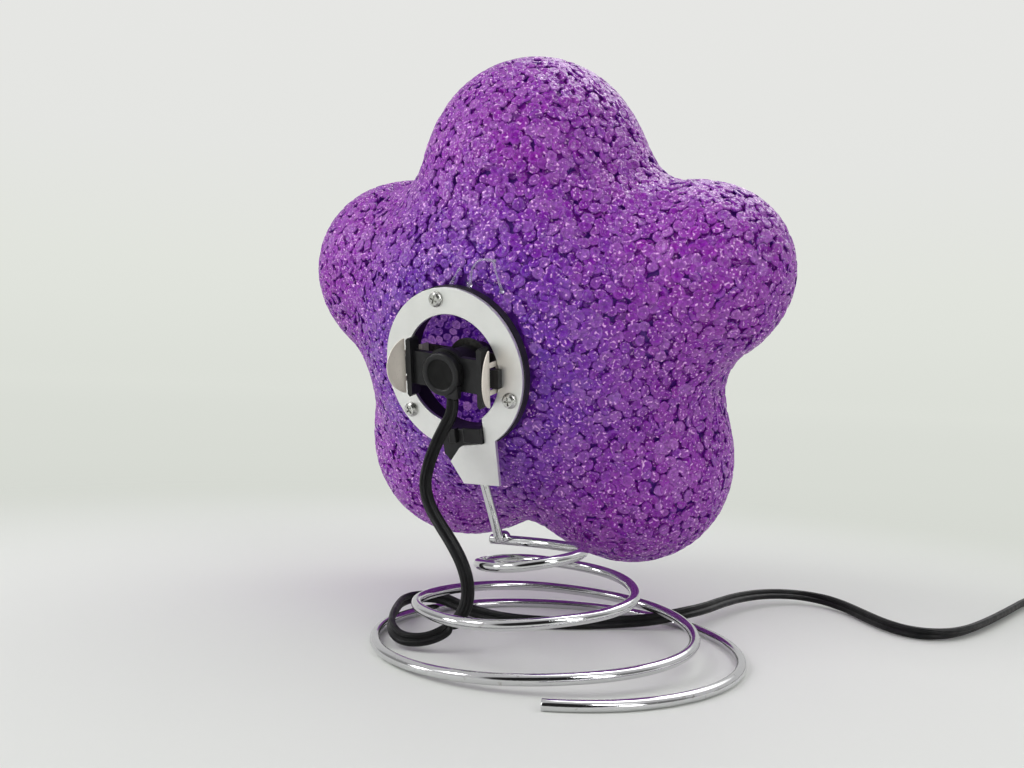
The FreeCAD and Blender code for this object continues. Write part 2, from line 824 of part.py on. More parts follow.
def switch_outline(z, inset):
    """The oval outline of the switch at one height."""
    near, far, half = switch_near + inset * 0.3, switch_far - inset * 0.3, switch_half - inset
    middle = (near + far) / 2
    end_half = 5.4 - inset * 0.6
    right = [Vector(end_half, near, z), Vector(half, middle, z), Vector(end_half, far, z)]
    left = [Vector(-v.x, v.y, z) for v in reversed(right)]
    edges = [
        Part.Arc(*right).toShape(),
        Part.LineSegment(right[-1], left[0]).toShape(),
        Part.Arc(*left).toShape(),
        Part.LineSegment(left[-1], right[0]).toShape(),
    ]
    return Part.Wire(edges)


def switch_hollow():
    middle = (switch_near + switch_far) / 2
    bottom = switch_middle - wheel_thick / 2 - 0.4
    top = switch_middle + wheel_thick / 2 + 0.4
    bore = Part.makeCylinder(wheel_radius + 0.6, top - bottom, Vector(wheel_offset, middle, bottom))
    window = box(wheel_offset, 30, middle - 8.0, middle + 8.0, bottom, top)
    return bore.fuse(window)


def cord_channel():
    ends = []
    for y in (switch_near - 1, switch_far - 8):
        ends.append(Part.makeCylinder(cord_width / 2 + 0.1, 9, Vector(0, y, switch_middle), Vector(0, 1, 0)))
    return ends


def switch_shell(lower):
    """Half of the housing, its rim drawn in, with room for the wheel, the screw and the contacts."""
    flat, seam = (0.2, switch_middle) if lower else (switch_height, switch_middle + 0.02)
    rim = flat + (2.0 if lower else -2.0)
    wall = Part.makeLoft([switch_outline(seam, 0), switch_outline(rim, 0.3)], True, True)
    crown = Part.makeLoft([switch_outline(rim, 0.3), switch_outline(flat, 2.2)], True, True)
    shell = wall.fuse(crown).removeSplitter()
    middle = (switch_near + switch_far) / 2
    shell = shell.cut(switch_hollow())
    axle_hole = Part.makeCylinder(axle_radius + 0.05, 12, Vector(wheel_offset, middle, switch_middle - 6))
    shell = shell.cut(axle_hole)
    screw_hole = Part.makeCylinder(1.55, 12.2, Vector(-6.5, middle, 2.8))
    screw_seat = Part.makeCylinder(2.9, 3, Vector(-6.5, middle, switch_height - 2.0))
    contact_room = box(-4.3, -2.9, middle - 12, middle + 12, switch_middle - 2.5, switch_middle + 2.5)
    return shell.cut(screw_hole).cut(screw_seat).cut(contact_room)


def make_wheel():
    """The thumbwheel with its axle and a knurl of round flutes."""
    middle = (switch_near + switch_far) / 2
    centre = Vector(wheel_offset, middle, switch_middle - wheel_thick / 2)
    edges = []
    for i in range(wheel_flutes):
        start = 2 * math.pi * i / wheel_flutes
        spots = []
        for share, radius in ((0, 0), (0.25, 0), (0.5, 0), (0.75, flute_depth), (1, 0)):
            angle = start + 2 * math.pi * share / wheel_flutes
            reach = wheel_radius - radius
            spots.append(centre + Vector(reach * math.cos(angle), reach * math.sin(angle), 0))
        edges.append(Part.Arc(spots[0], spots[1], spots[2]).toShape())
        edges.append(Part.Arc(spots[2], spots[3], spots[4]).toShape())
    wheel = Part.Face(Part.Wire(edges)).extrude(Vector(0, 0, wheel_thick))
    axle = Part.makeCylinder(axle_radius, 11.6, Vector(wheel_offset, middle, switch_middle - 5.8))
    return wheel.fuse(axle).removeSplitter()


def make_switch_screw():
    middle = (switch_near + switch_far) / 2
    shank = Part.makeCylinder(1.5, 11.4, Vector(-6.5, middle, 3.0))
    crown = Part.makeCylinder(2.7, 1.5, Vector(-6.5, middle, switch_height - 2.0))
    slot = box(-9.2, -3.8, middle - 0.35, middle + 0.35, switch_height - 1.3, switch_height)
    return shank.fuse(crown).removeSplitter().cut(slot)


def make_switch_contacts():
    """Two springy brass blades beside the wheel, one to each side of its axle."""
    middle = (switch_near + switch_far) / 2
    return [
        box(-3.9, -3.3, middle - 11, middle - 1.0, switch_middle - 2, switch_middle + 2),
        box(-3.9, -3.3, middle + 1.0, middle + 11, switch_middle - 2, switch_middle + 2),
    ]


def switch_placed(shape):
    moved = shape.copy()
    moved.translate(Vector(coil_x + switch_x, coil_y, 0))
    return moved


# The plug beyond the put-away turns, lying along +Y


def plug_frame(points):
    return points[-1] + Vector(0, cord_width, 0)


def rounded_section(y, half_x, half_z, corner):
    block = box(-half_x, half_x, y, y + 1, -half_z, half_z)
    block = block.makeFillet(corner, nearest_edges(block, along_y))
    face = [f for f in block.Faces if abs(f.BoundBox.YMax - y) < 1e-6][0]
    return face.OuterWire


def make_relief():
    """The tapered sleeve behind the plug, with grooves that let it bend."""
    sleeve = spun([(0, 0), (cord_width / 2 + 0.3, 0), (5.0, relief_length), (0, relief_length)])
    for i in range(5):
        y = 4.0 + 4.2 * i
        ring = Part.makeCylinder(9, 1.4, Vector(0, y, 0), Vector(0, 1, 0))
        core_radius = cord_width / 2 + 0.1 + 0.05 * y
        ring = ring.cut(Part.makeCylinder(core_radius, 1.4, Vector(0, y, 0), Vector(0, 1, 0)))
        sleeve = sleeve.cut(ring)
    return sleeve


def make_plug_body():
    sections = [
        rounded_section(relief_length, 7.0, 6.5, 3.0),
        rounded_section(relief_length + plug_length * 0.45, 10.0, 8.6, 3.4),
        rounded_section(relief_length + plug_length * 0.55, 10.0, 8.6, 3.4),
        rounded_section(relief_length + plug_length, 12.6, 9.4, 3.6),
    ]
    back = Part.makeLoft(sections[:2], True, True)
    waist = Part.makeLoft(sections[1:3], True, True)
    front = Part.makeLoft(sections[2:], True, True)
    return back.fuse([waist, front]).removeSplitter()


def make_blades():
    blades = []
    face = relief_length + plug_length
    for side in (-1, 1):
        x = side * 6.35
        blade = box(x - 0.75, x + 0.75, face, face + blade_length, -3.2, 3.2)
        blade = blade.makeChamfer(0.5, nearest_edges(blade, lambda e: e.BoundBox.YMin > face + blade_length - 0.1))
        hole = Part.makeCylinder(1.6, 10, Vector(x - 5, face + blade_length - 4.5, 0), Vector(1, 0, 0))
        blades.append(blade.cut(hole))
    return blades


def save(name, shape):
    if isinstance(shape, list):
        shape = Part.makeCompound(shape)
    if not shape.isValid():
        print("not valid: " + name)
    shape.exportStep("parts/" + name + ".step")


def socket_parts():
    return {
        "socket_cap": make_socket_cap(),
        "socket_body": make_barrel(),
        "socket_bridge": make_bridge(),
        "clip_strap": make_strap(),
        "finger_clip_left": make_clip(-1),
        "finger_clip_right": make_clip(1),
        "clip_rivets": make_rivets(),
        "screw_shell": make_screw_shell(),
        "socket_insulator": make_insulator(),
        "centre_contact": make_centre_contact(),
        "contact_rivet": make_contact_rivet(),
        "cord_terminals": make_terminals(),
        "bulb_cap": make_bulb_cap(),
        "bulb_glass": make_bulb_glass(),
        "bulb_insulator": make_bulb_insulator(),
        "bulb_contact": make_bulb_contact(),
        "bulb_stem": make_bulb_stem(),
        "bulb_filament": make_filament(),
    }


def main():
    os.makedirs("parts", exist_ok=True)
    plate = make_plate()
    rod = make_rod()
    coil = make_coil()
    shade_back, shade_front = make_shade()
    collar = make_collar()
    save("shade_back", shade_back)
    save("shade_front", shade_front)
    save("collar", collar)
    save("glue_blobs", make_glue(collar, shade_back))
    save("mount_plate", plate)
    save("plate_screws", make_screws())
    save("upright_rod", rod)
    save("coil_base", coil)
    save("weld_beads", make_welds(rod, plate, coil))
    for name, shape in socket_parts().items():
        if isinstance(shape, list):
            shape = Part.makeCompound(shape)
        save(name, placed(shape, socket))
    lead = from_coil(lead_points)
    tail = from_coil(tail_points)
    save("cord_lead", cord_tube("cord lead", lead))
    save("cord_tail", cord_tube("cord tail", tail))
    save("cord_coil", make_bundle())
    save("switch_lower_shell", switch_placed(switch_shell(True).cut(cord_channel())))
    save("switch_upper_shell", switch_placed(switch_shell(False).cut(cord_channel())))
    save("switch_wheel", switch_placed(make_wheel()))
    save("switch_screw", switch_placed(make_switch_screw()))
    save("switch_contacts", switch_placed(Part.makeCompound(make_switch_contacts())))
    plug_start = plug_frame(bundle_knots()[0])
    blades = Part.makeCompound(make_blades())
    plug = {"plug_relief": make_relief(), "plug_body": make_plug_body(), "plug_blades": blades}
    for name, shape in plug.items():
        moved = shape.copy()
        moved.translate(plug_start)
        save(name, moved)


main()
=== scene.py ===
import math

import bpy
import numpy as np
from mathutils import Matrix


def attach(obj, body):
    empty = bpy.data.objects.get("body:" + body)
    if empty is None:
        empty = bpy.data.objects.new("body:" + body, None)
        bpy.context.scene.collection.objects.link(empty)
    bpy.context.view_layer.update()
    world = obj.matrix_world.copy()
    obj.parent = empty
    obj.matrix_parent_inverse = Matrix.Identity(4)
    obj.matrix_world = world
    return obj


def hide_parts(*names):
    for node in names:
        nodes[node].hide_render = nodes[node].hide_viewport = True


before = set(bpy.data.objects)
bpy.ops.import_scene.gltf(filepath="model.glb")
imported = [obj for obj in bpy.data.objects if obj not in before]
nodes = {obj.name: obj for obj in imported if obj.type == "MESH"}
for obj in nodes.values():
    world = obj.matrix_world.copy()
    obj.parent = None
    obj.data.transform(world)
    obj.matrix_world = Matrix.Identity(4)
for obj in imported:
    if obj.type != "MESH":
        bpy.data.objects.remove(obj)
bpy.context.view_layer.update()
print("frame loaded:", len(nodes), "nodes")

# A lamp with a puffy star shade of fused pellets on a coil of chromed wire, seen from behind.
# Metres everywhere. +Z is up, the shade's open back faces -Y.

headFrame = {"place": (-0.0010, -0.0532, 0.1278), "leanDegrees": 15.3, "socketTurnDegrees": 6.0}


# The head's own axes (right, into the shade, up) leaned back about X and moved to the ring plate.
def headToWorld(points):
    lean = math.radians(headFrame["leanDegrees"])
    turned = np.stack([points[..., 0],
                       points[..., 1] * math.cos(lean) - points[..., 2] * math.sin(lean),
                       points[..., 1] * math.sin(lean) + points[..., 2] * math.cos(lean)], axis=-1)
    return turned + np.array(headFrame["place"])


# The socket's own axes turned about the head's Y, then the head's.
def socketToWorld(points):
    turn = math.radians(headFrame["socketTurnDegrees"])
    x, z = points[..., 0], points[..., 2]
    turned = [x * math.cos(turn) + z * math.sin(turn), points[..., 1], z * math.cos(turn) - x * math.sin(turn)]
    return headToWorld(np.stack(turned, axis=-1))


# Each row divided by its own length.
def unitRows(vectors):
    return vectors / np.maximum(np.linalg.norm(vectors, axis=-1, keepdims=True), 1e-12)


# 0 below low, 1 above high, and 3t^2 - 2t^3 in between.
def smoothStep(low, high, values):
    t = np.clip((values - low) / (high - low), 0, 1)
    return t * t * (3 - 2 * t)


# A mesh from whole arrays: points, the corner index of every face in a row, and where each face starts.
def makeMesh(name, points, loops, starts, attributes=None, smooth=True):
    mesh = bpy.data.meshes.new(name)
    mesh.vertices.add(len(points))
    mesh.vertices.foreach_set("co", np.ascontiguousarray(points, np.float32).ravel())
    mesh.loops.add(len(loops))
    mesh.loops.foreach_set("vertex_index", np.ascontiguousarray(loops, np.int32))
    mesh.polygons.add(len(starts))
    mesh.polygons.foreach_set("loop_start", np.ascontiguousarray(starts, np.int32))
    for key, values in (attributes or {}).items():
        layer = mesh.attributes.new(key, "FLOAT", "POINT")
        layer.data.foreach_set("value", np.ascontiguousarray(values, np.float32).ravel())
    mesh.update(calc_edges=True)
    mesh.validate()
    mesh.polygons.foreach_set("use_smooth", np.full(len(mesh.polygons), smooth))
    piece = bpy.data.objects.new(name, mesh)
    bpy.context.scene.collection.objects.link(piece)
    return piece


# Quads between rows of closed loops; the last row may join the first.
def loopFaces(rows, columns, closedRows=False):
    i = np.arange(rows if closedRows else rows - 1)[:, None]
    j = np.arange(columns)[None, :]
    iNext, jNext = (i + 1) % rows, (j + 1) % columns
    quads = np.stack([i * columns + j, i * columns + jNext, iNext * columns + jNext, iNext * columns + j], axis=-1)
    return quads.reshape(-1, 4)


# A piece of quads, with a many-sided face for each list of corners in caps.
def quadPiece(name, points, quads, caps=(), smooth=True):
    loops = [quads.ravel()] + [np.asarray(c) for c in caps]
    sizes = np.concatenate([np.full(len(quads), 4), [len(c) for c in caps]]).astype(int)
    starts = np.concatenate([[0], np.cumsum(sizes)[:-1]])
    return makeMesh(name, points.reshape(-1, 3), np.concatenate(loops), starts, smooth=smooth)


# A stack of closed loops of points with flat ends. Seen from the stack's far end the loops go round counterclockwise,
# or with flip clockwise, so that the faces point outwards.
def stackPiece(name, points, flip=False, smooth=True):
    rows, columns = points.shape[:2]
    quads = loopFaces(rows, columns)
    caps = np.stack([np.arange(columns)[::-1], (rows - 1) * columns + np.arange(columns)])
    if flip:
        quads, caps = quads[:, ::-1], caps[:, ::-1]
    return quadPiece(name, points, quads, caps, smooth)


# Even angles once round.
def turnAngles(count):
    return 2 * np.pi * np.arange(count) / count


# A section of (across, along the normal) pairs carried along a line: centre + across * side + up * normal.
def tubePoints(centres, normals, section, sizes=None):
    tangents = unitRows(np.gradient(centres, axis=0))
    normals = unitRows(normals - (normals * tangents).sum(1, keepdims=True) * tangents)
    sides = np.cross(tangents, normals)
    sizes = np.ones(len(centres)) if sizes is None else sizes
    section = section[None] * sizes[:, None, None]
    return centres[:, None] + section[..., :1] * sides[:, None] + section[..., 1:] * normals[:, None]


# A closed tube with flat ends: the section goes round counterclockwise seen along the line.
def tubePiece(name, centres, normals, section, sizes=None):
    return stackPiece(name, tubePoints(centres, normals, section, sizes), flip=True)


# A circle of points: radius times the cosine and sine of an even turn.
def circleSection(radius, count):
    turn = turnAngles(count)
    return radius * np.stack([np.cos(turn), np.sin(turn)], axis=1)


# Links an object to the scene, placed by its right, up and backward directions.
def placeObject(thing, right, up, back, place):
    matrix = np.eye(4)
    matrix[:3] = np.stack([right, up, back, place], axis=1)
    thing.matrix_world = Matrix(matrix.tolist())
    bpy.context.scene.collection.objects.link(thing)


# The camera, solved from the photograph's coil and ring

cameraView = {
    "azimuthDegrees": 33.41,
    "elevationDegrees": 0.32,
    "rollDegrees": 2.585,
    "distance": 0.4718,
    "target": (0.0516, -0.0450, 0.12249),
    "targetAcross": -0.01847,
    "focalPixels": 1006.3,
    "frameWidthPixels": 1024,
    "sensorMillimetres": 36.0,
    "clipStart": 0.01,
}


# The camera looks at the target from its azimuth, then rolls about its own line of sight.
def makeCamera():
    view = cameraView
    az, el, roll = (math.radians(view[k]) for k in ("azimuthDegrees", "elevationDegrees", "rollDegrees"))
    back = np.array([math.sin(az) * math.cos(el), -math.cos(az) * math.cos(el), math.sin(el)])
    right = unitRows(np.cross(-back, [0, 0, 1]))
    up = np.cross(right, -back)
    rolledRight = math.cos(roll) * right + math.sin(roll) * up
    rolledUp = -math.sin(roll) * right + math.cos(roll) * up
    target = np.array(view["target"]) + view["targetAcross"] * np.array([math.cos(az), math.sin(az), 0])
    data = bpy.data.cameras.new("camera")
    data.sensor_width = view["sensorMillimetres"]
    data.lens = view["focalPixels"] * view["sensorMillimetres"] / view["frameWidthPixels"]
    data.clip_start = view["clipStart"]
    camera = bpy.data.objects.new("camera", data)
    placeObject(camera, rolledRight, rolledUp, back, target + back * view["distance"])
    bpy.context.scene.camera = camera


makeCamera()
print("camera placed")


# Materials. Each is a Principled shader whose colour, roughness and bump come from noise on Object coordinates.

# Sets a node's inputs: each is another node's output to link, or a plain value.
def setInputs(tree, node, inputs):
    for key, value in inputs.items():
        if isinstance(value, bpy.types.NodeSocket):
            tree.links.new(value, node.inputs[key])
        else:
            node.inputs[key].default_value = value


# A node of one kind with its settings and inputs.
def addNode(tree, kind, inputs=None, **settings):
    node = tree.nodes.new(kind)
    for key, value in settings.items():
        setattr(node, key, value)
    setInputs(tree, node, inputs or {})
    return node


# A material, its node tree and its Principled shader.
def newMaterial(name):
    material = bpy.data.materials.new(name)
    material.use_nodes = True
    return material, material.node_tree, material.node_tree.nodes["Principled BSDF"]


# A noise texture on Object coordinates, with so many waves to the metre.
def noiseNode(tree, scale, detail=2.0, roughness=0.5, stretch=(1, 1, 1)):
    place = addNode(tree, "ShaderNodeTexCoord").outputs["Object"]
    mapped = addNode(tree, "ShaderNodeMapping", {"Vector": place, "Scale": stretch}).outputs["Vector"]
    return addNode(tree, "ShaderNodeTexNoise", {"Vector": mapped, "Scale": scale, "Detail": detail,
                                                "Roughness": roughness}).outputs["Fac"]


# A colour ramp through (position, colour) stops.
def rampNode(tree, source, stops):
    ramp = addNode(tree, "ShaderNodeValToRGB", {"Fac": source})
    elements = ramp.color_ramp.elements
    while len(elements) < len(stops):
        elements.new(0.5)
    for element, (position, colour) in zip(elements, stops):
        element.position = position
        element.color = (*colour, 1)
    return ramp.outputs["Color"]


# A value carried from one range to another.
def rangeNode(tree, source, fromLow, fromHigh, toLow, toHigh, kind="LINEAR"):
    ends = {"From Min": fromLow, "From Max": fromHigh, "To Min": toLow, "To Max": toHigh}
    return addNode(tree, "ShaderNodeMapRange", {"Value": source, **ends}, interpolation_type=kind).outputs["Result"]


# A value that the mesh carries at its points.
def attributeNode(tree, name):
    return addNode(tree, "ShaderNodeAttribute", attribute_name=name).outputs["Fac"]


# Two colours mixed by a factor. Each may be a socket or a plain colour.
def mixColours(tree, factor, first, second, blend="MIX"):
    first, second = (c if isinstance(c, bpy.types.NodeSocket) else (*c, 1) for c in (first, second))
    inputs = {0: factor, 6: first, 7: second}
    return addNode(tree, "ShaderNodeMix", inputs, data_type="RGBA", blend_type=blend).outputs[2]


# A bump whose height is a share of the distance in metres.
def addBump(tree, shader, height, distance, strength=1.0):
    bump = addNode(tree, "ShaderNodeBump", {"Height": height, "Distance": distance, "Strength": strength})
    tree.links.new(bump.outputs["Normal"], shader.inputs["Normal"])


# The pinker colour is painted light through the lobes, the darkest violet painted shade under each pellet, the
# near-white painted glints.
pelletLook = {
    "deep": (0.125, 0.010, 0.400),
    "warm": (0.300, 0.014, 0.420),
    "pale": (0.600, 0.290, 0.720),
    "paintedUnderShade": (0.075, 0.006, 0.240),
    "paintedGlint": (0.950, 0.490, 1.000),
    "cloudiness": (0.70, 1.16),
    "roughness": (0.06, 0.15),
    "dimples": 0.0007,
}


# Each pellet has its own tone. Bluer towards the star's centre and pinker towards the lobe tips is painted light
# through the thinner lobes, paler at its rim a painted highlight, darker underneath painted shade. A dimpled glossy
# skin, small bright specks that are painted glints, and an emission of its own colour, a painted glow through the
# plastic.
def pelletMaterial(name, glow, paintedLightLevel=1.0, paleShare=0.30):
    p = pelletLook
    material, tree, shader = newMaterial(name)
    # Painted light through the thinner lobes: the deep colour in the middle of the star, the warm one towards the lobe
    # tips.
    base = mixColours(tree, attributeNode(tree, "paintedLobeLight"), p["deep"], p["warm"])
    # The pale mix is the pellet's own random tone plus painted highlights on its rim.
    tone = rangeNode(tree, attributeNode(tree, "tone"), 0, 1, 0.0, paleShare)
    toned = mixColours(tree, tone, base, p["pale"])
    low, high = ((level * paintedLightLevel,) * 3 for level in p["cloudiness"])
    fine = rampNode(tree, noiseNode(tree, 620, 3), [(0.35, low), (0.68, high)])
    clouded = mixColours(tree, 1.0, toned, fine, "MULTIPLY")
    # Painted glints: small bright specks where the fine noise is highest.
    paintedGlints = rangeNode(tree, noiseNode(tree, 760, 0), 0.64, 0.80, 0, 1)
    glinted = mixColours(tree, paintedGlints, clouded, p["paintedGlint"])
    # Painted shade: darker towards each pellet's underside.
    colour = mixColours(tree, attributeNode(tree, "depth"), glinted, p["paintedUnderShade"])
    rough = rangeNode(tree, noiseNode(tree, 430, 2), 0.35, 0.65, *p["roughness"])
    # The emission is a painted glow of light through the plastic.
    setInputs(tree, shader, {"Base Color": colour, "Roughness": rough, "Emission Color": colour,
                             "Emission Strength": glow})
    addBump(tree, shader, noiseNode(tree, 520, 2), p["dimples"])
    return material


# Painted shade between the pellets: deep violet, with a painted glow of light through the plastic.
def gapShadeMaterial():
    material, tree, shader = newMaterial("paintedGapShade")
    colour = rampNode(tree, noiseNode(tree, 350, 3), [(0.3, (0.060, 0.008, 0.220)), (0.7, (0.140, 0.018, 0.330))])
    setInputs(tree, shader, {"Base Color": colour, "Roughness": 0.45, "Emission Color": colour,
                             "Emission Strength": 0.12})
    addBump(tree, shader, noiseNode(tree, 420, 2), 0.0012, 0.8)
    return material


# Chromed wire: bright, with fine drawing scratches and a few dull specks.
def chromeMaterial():
    material, tree, shader = newMaterial("chromedWire")
    colour = rampNode(tree, noiseNode(tree, 260, 4, 0.65),
                      [(0.0, (0.26, 0.25, 0.24)), (0.31, (0.50, 0.49, 0.48)), (0.38, (0.66, 0.66, 0.67))])
    rough = rangeNode(tree, noiseNode(tree, 900, 4, 0.7), 0.45, 0.8, 0.05, 0.24)
    setInputs(tree, shader, {"Base Color": colour, "Roughness": rough, "Metallic": 1.0})
    addBump(tree, shader, noiseNode(tree, 2200, 3), 0.00003, 0.4)
    return material


# Plated sheet steel with an even satin sheen, a little clouded, with faint hairlines.
def plateMaterial():
    material, tree, shader = newMaterial("platedSteel")
    colour = rampNode(tree, noiseNode(tree, 90, 3, 0.5), [(0.3, (0.84, 0.84, 0.83)), (0.7, (0.89, 0.89, 0.88))])
    hair = noiseNode(tree, 300, 4, 0.7, stretch=(0.25, 1, 6))
    setInputs(tree, shader, {"Base Color": colour, "Roughness": rangeNode(tree, hair, 0.4, 0.75, 0.40, 0.50),
                             "Metallic": 1.0})
    addBump(tree, shader, hair, 0.00001, 0.3)
    return material


# Bright steel with a soft grain and slightly darker patches.
def steelMaterial(name, base, roughness, darkest=0.55, metallic=1.0):
    material, tree, shader = newMaterial(name)
    dark = tuple(darkest * c for c in base)
    colour = rampNode(tree, noiseNode(tree, 420, 3, 0.6), [(0.28, dark), (0.5, base)])
    grain = noiseNode(tree, 1500, 3, 0.6)
    rough = rangeNode(tree, grain, 0.3, 0.7, roughness * 0.8, roughness * 1.3)
    setInputs(tree, shader, {"Base Color": colour, "Roughness": rough, "Metallic": metallic})
    addBump(tree, shader, grain, 0.00001, 0.2)
    return material


# Moulded plastic: an even colour, a fine grain, and a soft sheen that varies a little.
def plasticMaterial(name, base, roughness, grain=0.00006, scale=2400, gloss=0.3):
    material, tree, shader = newMaterial(name)
    light = tuple(min(1.0, 1.5 * c + 0.004) for c in base)
    colour = rampNode(tree, noiseNode(tree, 180, 3), [(0.35, base), (0.75, light)])
    rough = rangeNode(tree, noiseNode(tree, 260, 3), 0.3, 0.7, roughness * 0.8, roughness * 1.25)
    setInputs(tree, shader, {"Base Color": colour, "Roughness": rough, "Specular IOR Level": gloss})
    addBump(tree, shader, noiseNode(tree, scale, 3), grain, 0.6)
    return material


# Clear hot glue: mostly see-through, a little milky.
def glueMaterial():
    material, tree, shader = newMaterial("clearGlue")
    colour = rampNode(tree, noiseNode(tree, 500, 2), [(0.3, (0.66, 0.60, 0.76)), (0.7, (0.90, 0.86, 0.94))])
    setInputs(tree, shader, {"Base Color": colour, "Roughness": 0.18, "IOR": 1.48, "Transmission Weight": 0.82})
    addBump(tree, shader, noiseNode(tree, 700, 2), 0.0001, 0.5)
    return material


# Clear glass of nearly even colour.
def glassMaterial():
    material, tree, shader = newMaterial("bulbGlass")
    colour = rampNode(tree, noiseNode(tree, 60, 2), [(0.3, (0.93, 0.94, 0.95)), (0.7, (1, 1, 1))])
    setInputs(tree, shader, {"Base Color": colour, "Roughness": 0.02, "IOR": 1.45, "Transmission Weight": 1.0})
    return material


looks = {
    # Each pellet look's emission is a painted glow; the deep layer is darker as painted shade in the gaps, the inner
    # one paler and brighter as painted light through the wall.
    "pellets": pelletMaterial("shadePellets", 0.06),
    "deepPellets": pelletMaterial("shadeDeepPellets", 0.14, 0.8, 0.1),
    "innerPellets": pelletMaterial("shadeInnerPellets", 0.22, 1.2, 0.95),
    # The wall's look is painted shade in the gaps between the pellets, with a painted glow.
    "depth": gapShadeMaterial(),
    "chrome": chromeMaterial(),
    "plate": plateMaterial(),
    "zinc": steelMaterial("zincPlate", (0.62, 0.62, 0.60), 0.28),
    "spring": steelMaterial("springSteel", (0.90, 0.83, 0.75), 0.32, 0.96, 0.12),
    "strap": steelMaterial("darkStrap", (0.16, 0.155, 0.15), 0.35),
    "brass": steelMaterial("brass", (0.78, 0.60, 0.30), 0.25),
    "nickel": steelMaterial("nickelledCap", (0.72, 0.70, 0.66), 0.24),
    "tungsten": steelMaterial("tungsten", (0.35, 0.35, 0.36), 0.4),
    "black": plasticMaterial("blackPlastic", (0.010, 0.010, 0.011), 0.36),
    "recess": plasticMaterial("capRecess", (0.004, 0.004, 0.004), 0.5, grain=0.00015, scale=1500, gloss=0.15),
    "glossBlack": plasticMaterial("glossBlackPlastic", (0.008, 0.008, 0.010), 0.18, grain=0.00003),
    "lead": plasticMaterial("blackLead", (0.0045, 0.0045, 0.005), 0.42, grain=0.00004, scale=1800, gloss=0.22),
    "glue": glueMaterial(),
    "glass": glassMaterial(),
}

nodeLooks = {
    "plate": ["mount_plate"],
    "zinc": ["plate_screws", "clip_rivets", "switch_screw"],
    "spring": ["finger_clip_left", "finger_clip_right"],
    "strap": ["clip_strap"],
    "brass": ["screw_shell", "centre_contact", "contact_rivet", "cord_terminals", "bulb_contact",
              "switch_contacts", "plug_blades"],
    "nickel": ["bulb_cap"],
    "tungsten": ["bulb_filament"],
    "black": ["socket_cap", "socket_body", "socket_bridge", "collar", "switch_lower_shell",
              "switch_upper_shell", "switch_wheel"],
    "glossBlack": ["bulb_insulator", "socket_insulator"],
    "lead": ["plug_relief", "plug_body", "cord_lead", "cord_tail", "cord_coil"],
    "chrome": ["coil_base", "upright_rod", "weld_beads"],
    "glue": ["glue_blobs"],
    "glass": ["bulb_glass", "bulb_stem"],
    "pellets": ["shade_back", "shade_front"],
}
for look, names in nodeLooks.items():
    for name in names:
        nodes[name].data.materials.clear()
        nodes[name].data.materials.append(looks[look])
print("materials made:", len(looks))


# Gives a piece its material and its body, and hides the nodes that it stands for.
def finishPiece(piece, look, body="lamp", replaced=()):
    piece.data.materials.clear()
    piece.data.materials.append(looks[look])
    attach(piece, body)
    if replaced:
        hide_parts(*replaced)
    return piece


# The lead: the route's points, then the put-away turns

leadRoute = {
    "width": 0.0061,
    "thickness": 0.0031,
    "ribHeight": 0.00012,
    "turnsPoints": 14,  # control points to each put-away turn
    "coilCentre": (0.3066, 0.1400),
    "coilOuter": 0.040,
    "coilTurns": 2,
    "coilPitch": 0.0067,
    "coilBase": 0.0033,
    "coilLayer": 0.00665,
    "coilTuck": 0.0012,
    "endRun": (0.006, 0.016),  # straight into the plug's relief
    "resolution": 12,
    "sideTurn": 150,  # degrees of each conductor's round that show
    "ribs": 9,  # to a full turn, on the outer side of one conductor
    "ribReach": 1.9,  # radians to either side
    "sidePoints": (33, 25),
}

leadPoints = [
    (0.00315, -0.05695, 0.1142), (0.0024, -0.0551, 0.1075), (-0.0018, -0.0554, 0.1003),
    (-0.0057, -0.0572, 0.0910), (-0.0080, -0.0594, 0.0810), (-0.0084, -0.0613, 0.0710),
    (-0.0029, -0.0635, 0.0615), (0.0056, -0.0660, 0.0542), (0.0151, -0.0688, 0.0470),
    (0.0238, -0.0712, 0.0385), (0.0288, -0.0726, 0.0290), (0.0304, -0.0758, 0.0195),
    (0.0268, -0.0818, 0.0110), (0.0196, -0.0895, 0.0058), (0.0081, -0.0935, 0.0046),
    (-0.0032, -0.0885, 0.0070), (-0.0134, -0.0755, 0.0085), (-0.0239, -0.0590, 0.0086),
    (-0.0319, -0.0450, 0.0084), (-0.0329, -0.0320, 0.0083), (-0.0234, -0.0242, 0.0082),
    (-0.0104, -0.0234, 0.0050), (0.0046, -0.0240, 0.0034), (0.0216, -0.0230, 0.0033),
    (0.0386, -0.0145, 0.0034), (0.0531, -0.0010, 0.0033), (0.0646, 0.0115, 0.0036),
    (0.0781, 0.0205, 0.0054), (0.0896, 0.0315, 0.0087), (0.0939, 0.0495, 0.0089),
    (0.0940, 0.0735, 0.0084), (0.0954, 0.0985, 0.0076), (0.1011, 0.1225, 0.0066),
    (0.1121, 0.1400, 0.0054), (0.1271, 0.1460, 0.0043), (0.1431, 0.1380, 0.0035),
    (0.1581, 0.1225, 0.0033), (0.1726, 0.1075, 0.0034), (0.1876, 0.1000, 0.0033),
    (0.2011, 0.1075, 0.0034), (0.2091, 0.1290, 0.0033), (0.2146, 0.1590, 0.0034),
    (0.2196, 0.1980, 0.0033), (0.2241, 0.2370, 0.0034), (0.2321, 0.2650, 0.0033),
    (0.2461, 0.2790, 0.0038), (0.2596, 0.2745, 0.0052), (0.2656, 0.2610, 0.0072),
    (0.2666, 0.2455, 0.0082),
    (0.2666, 0.1855, 0.0082), (0.2666, 0.1735, 0.0076), (0.2666, 0.1590, 0.0033), (0.2666, 0.1461, 0.0033),
]

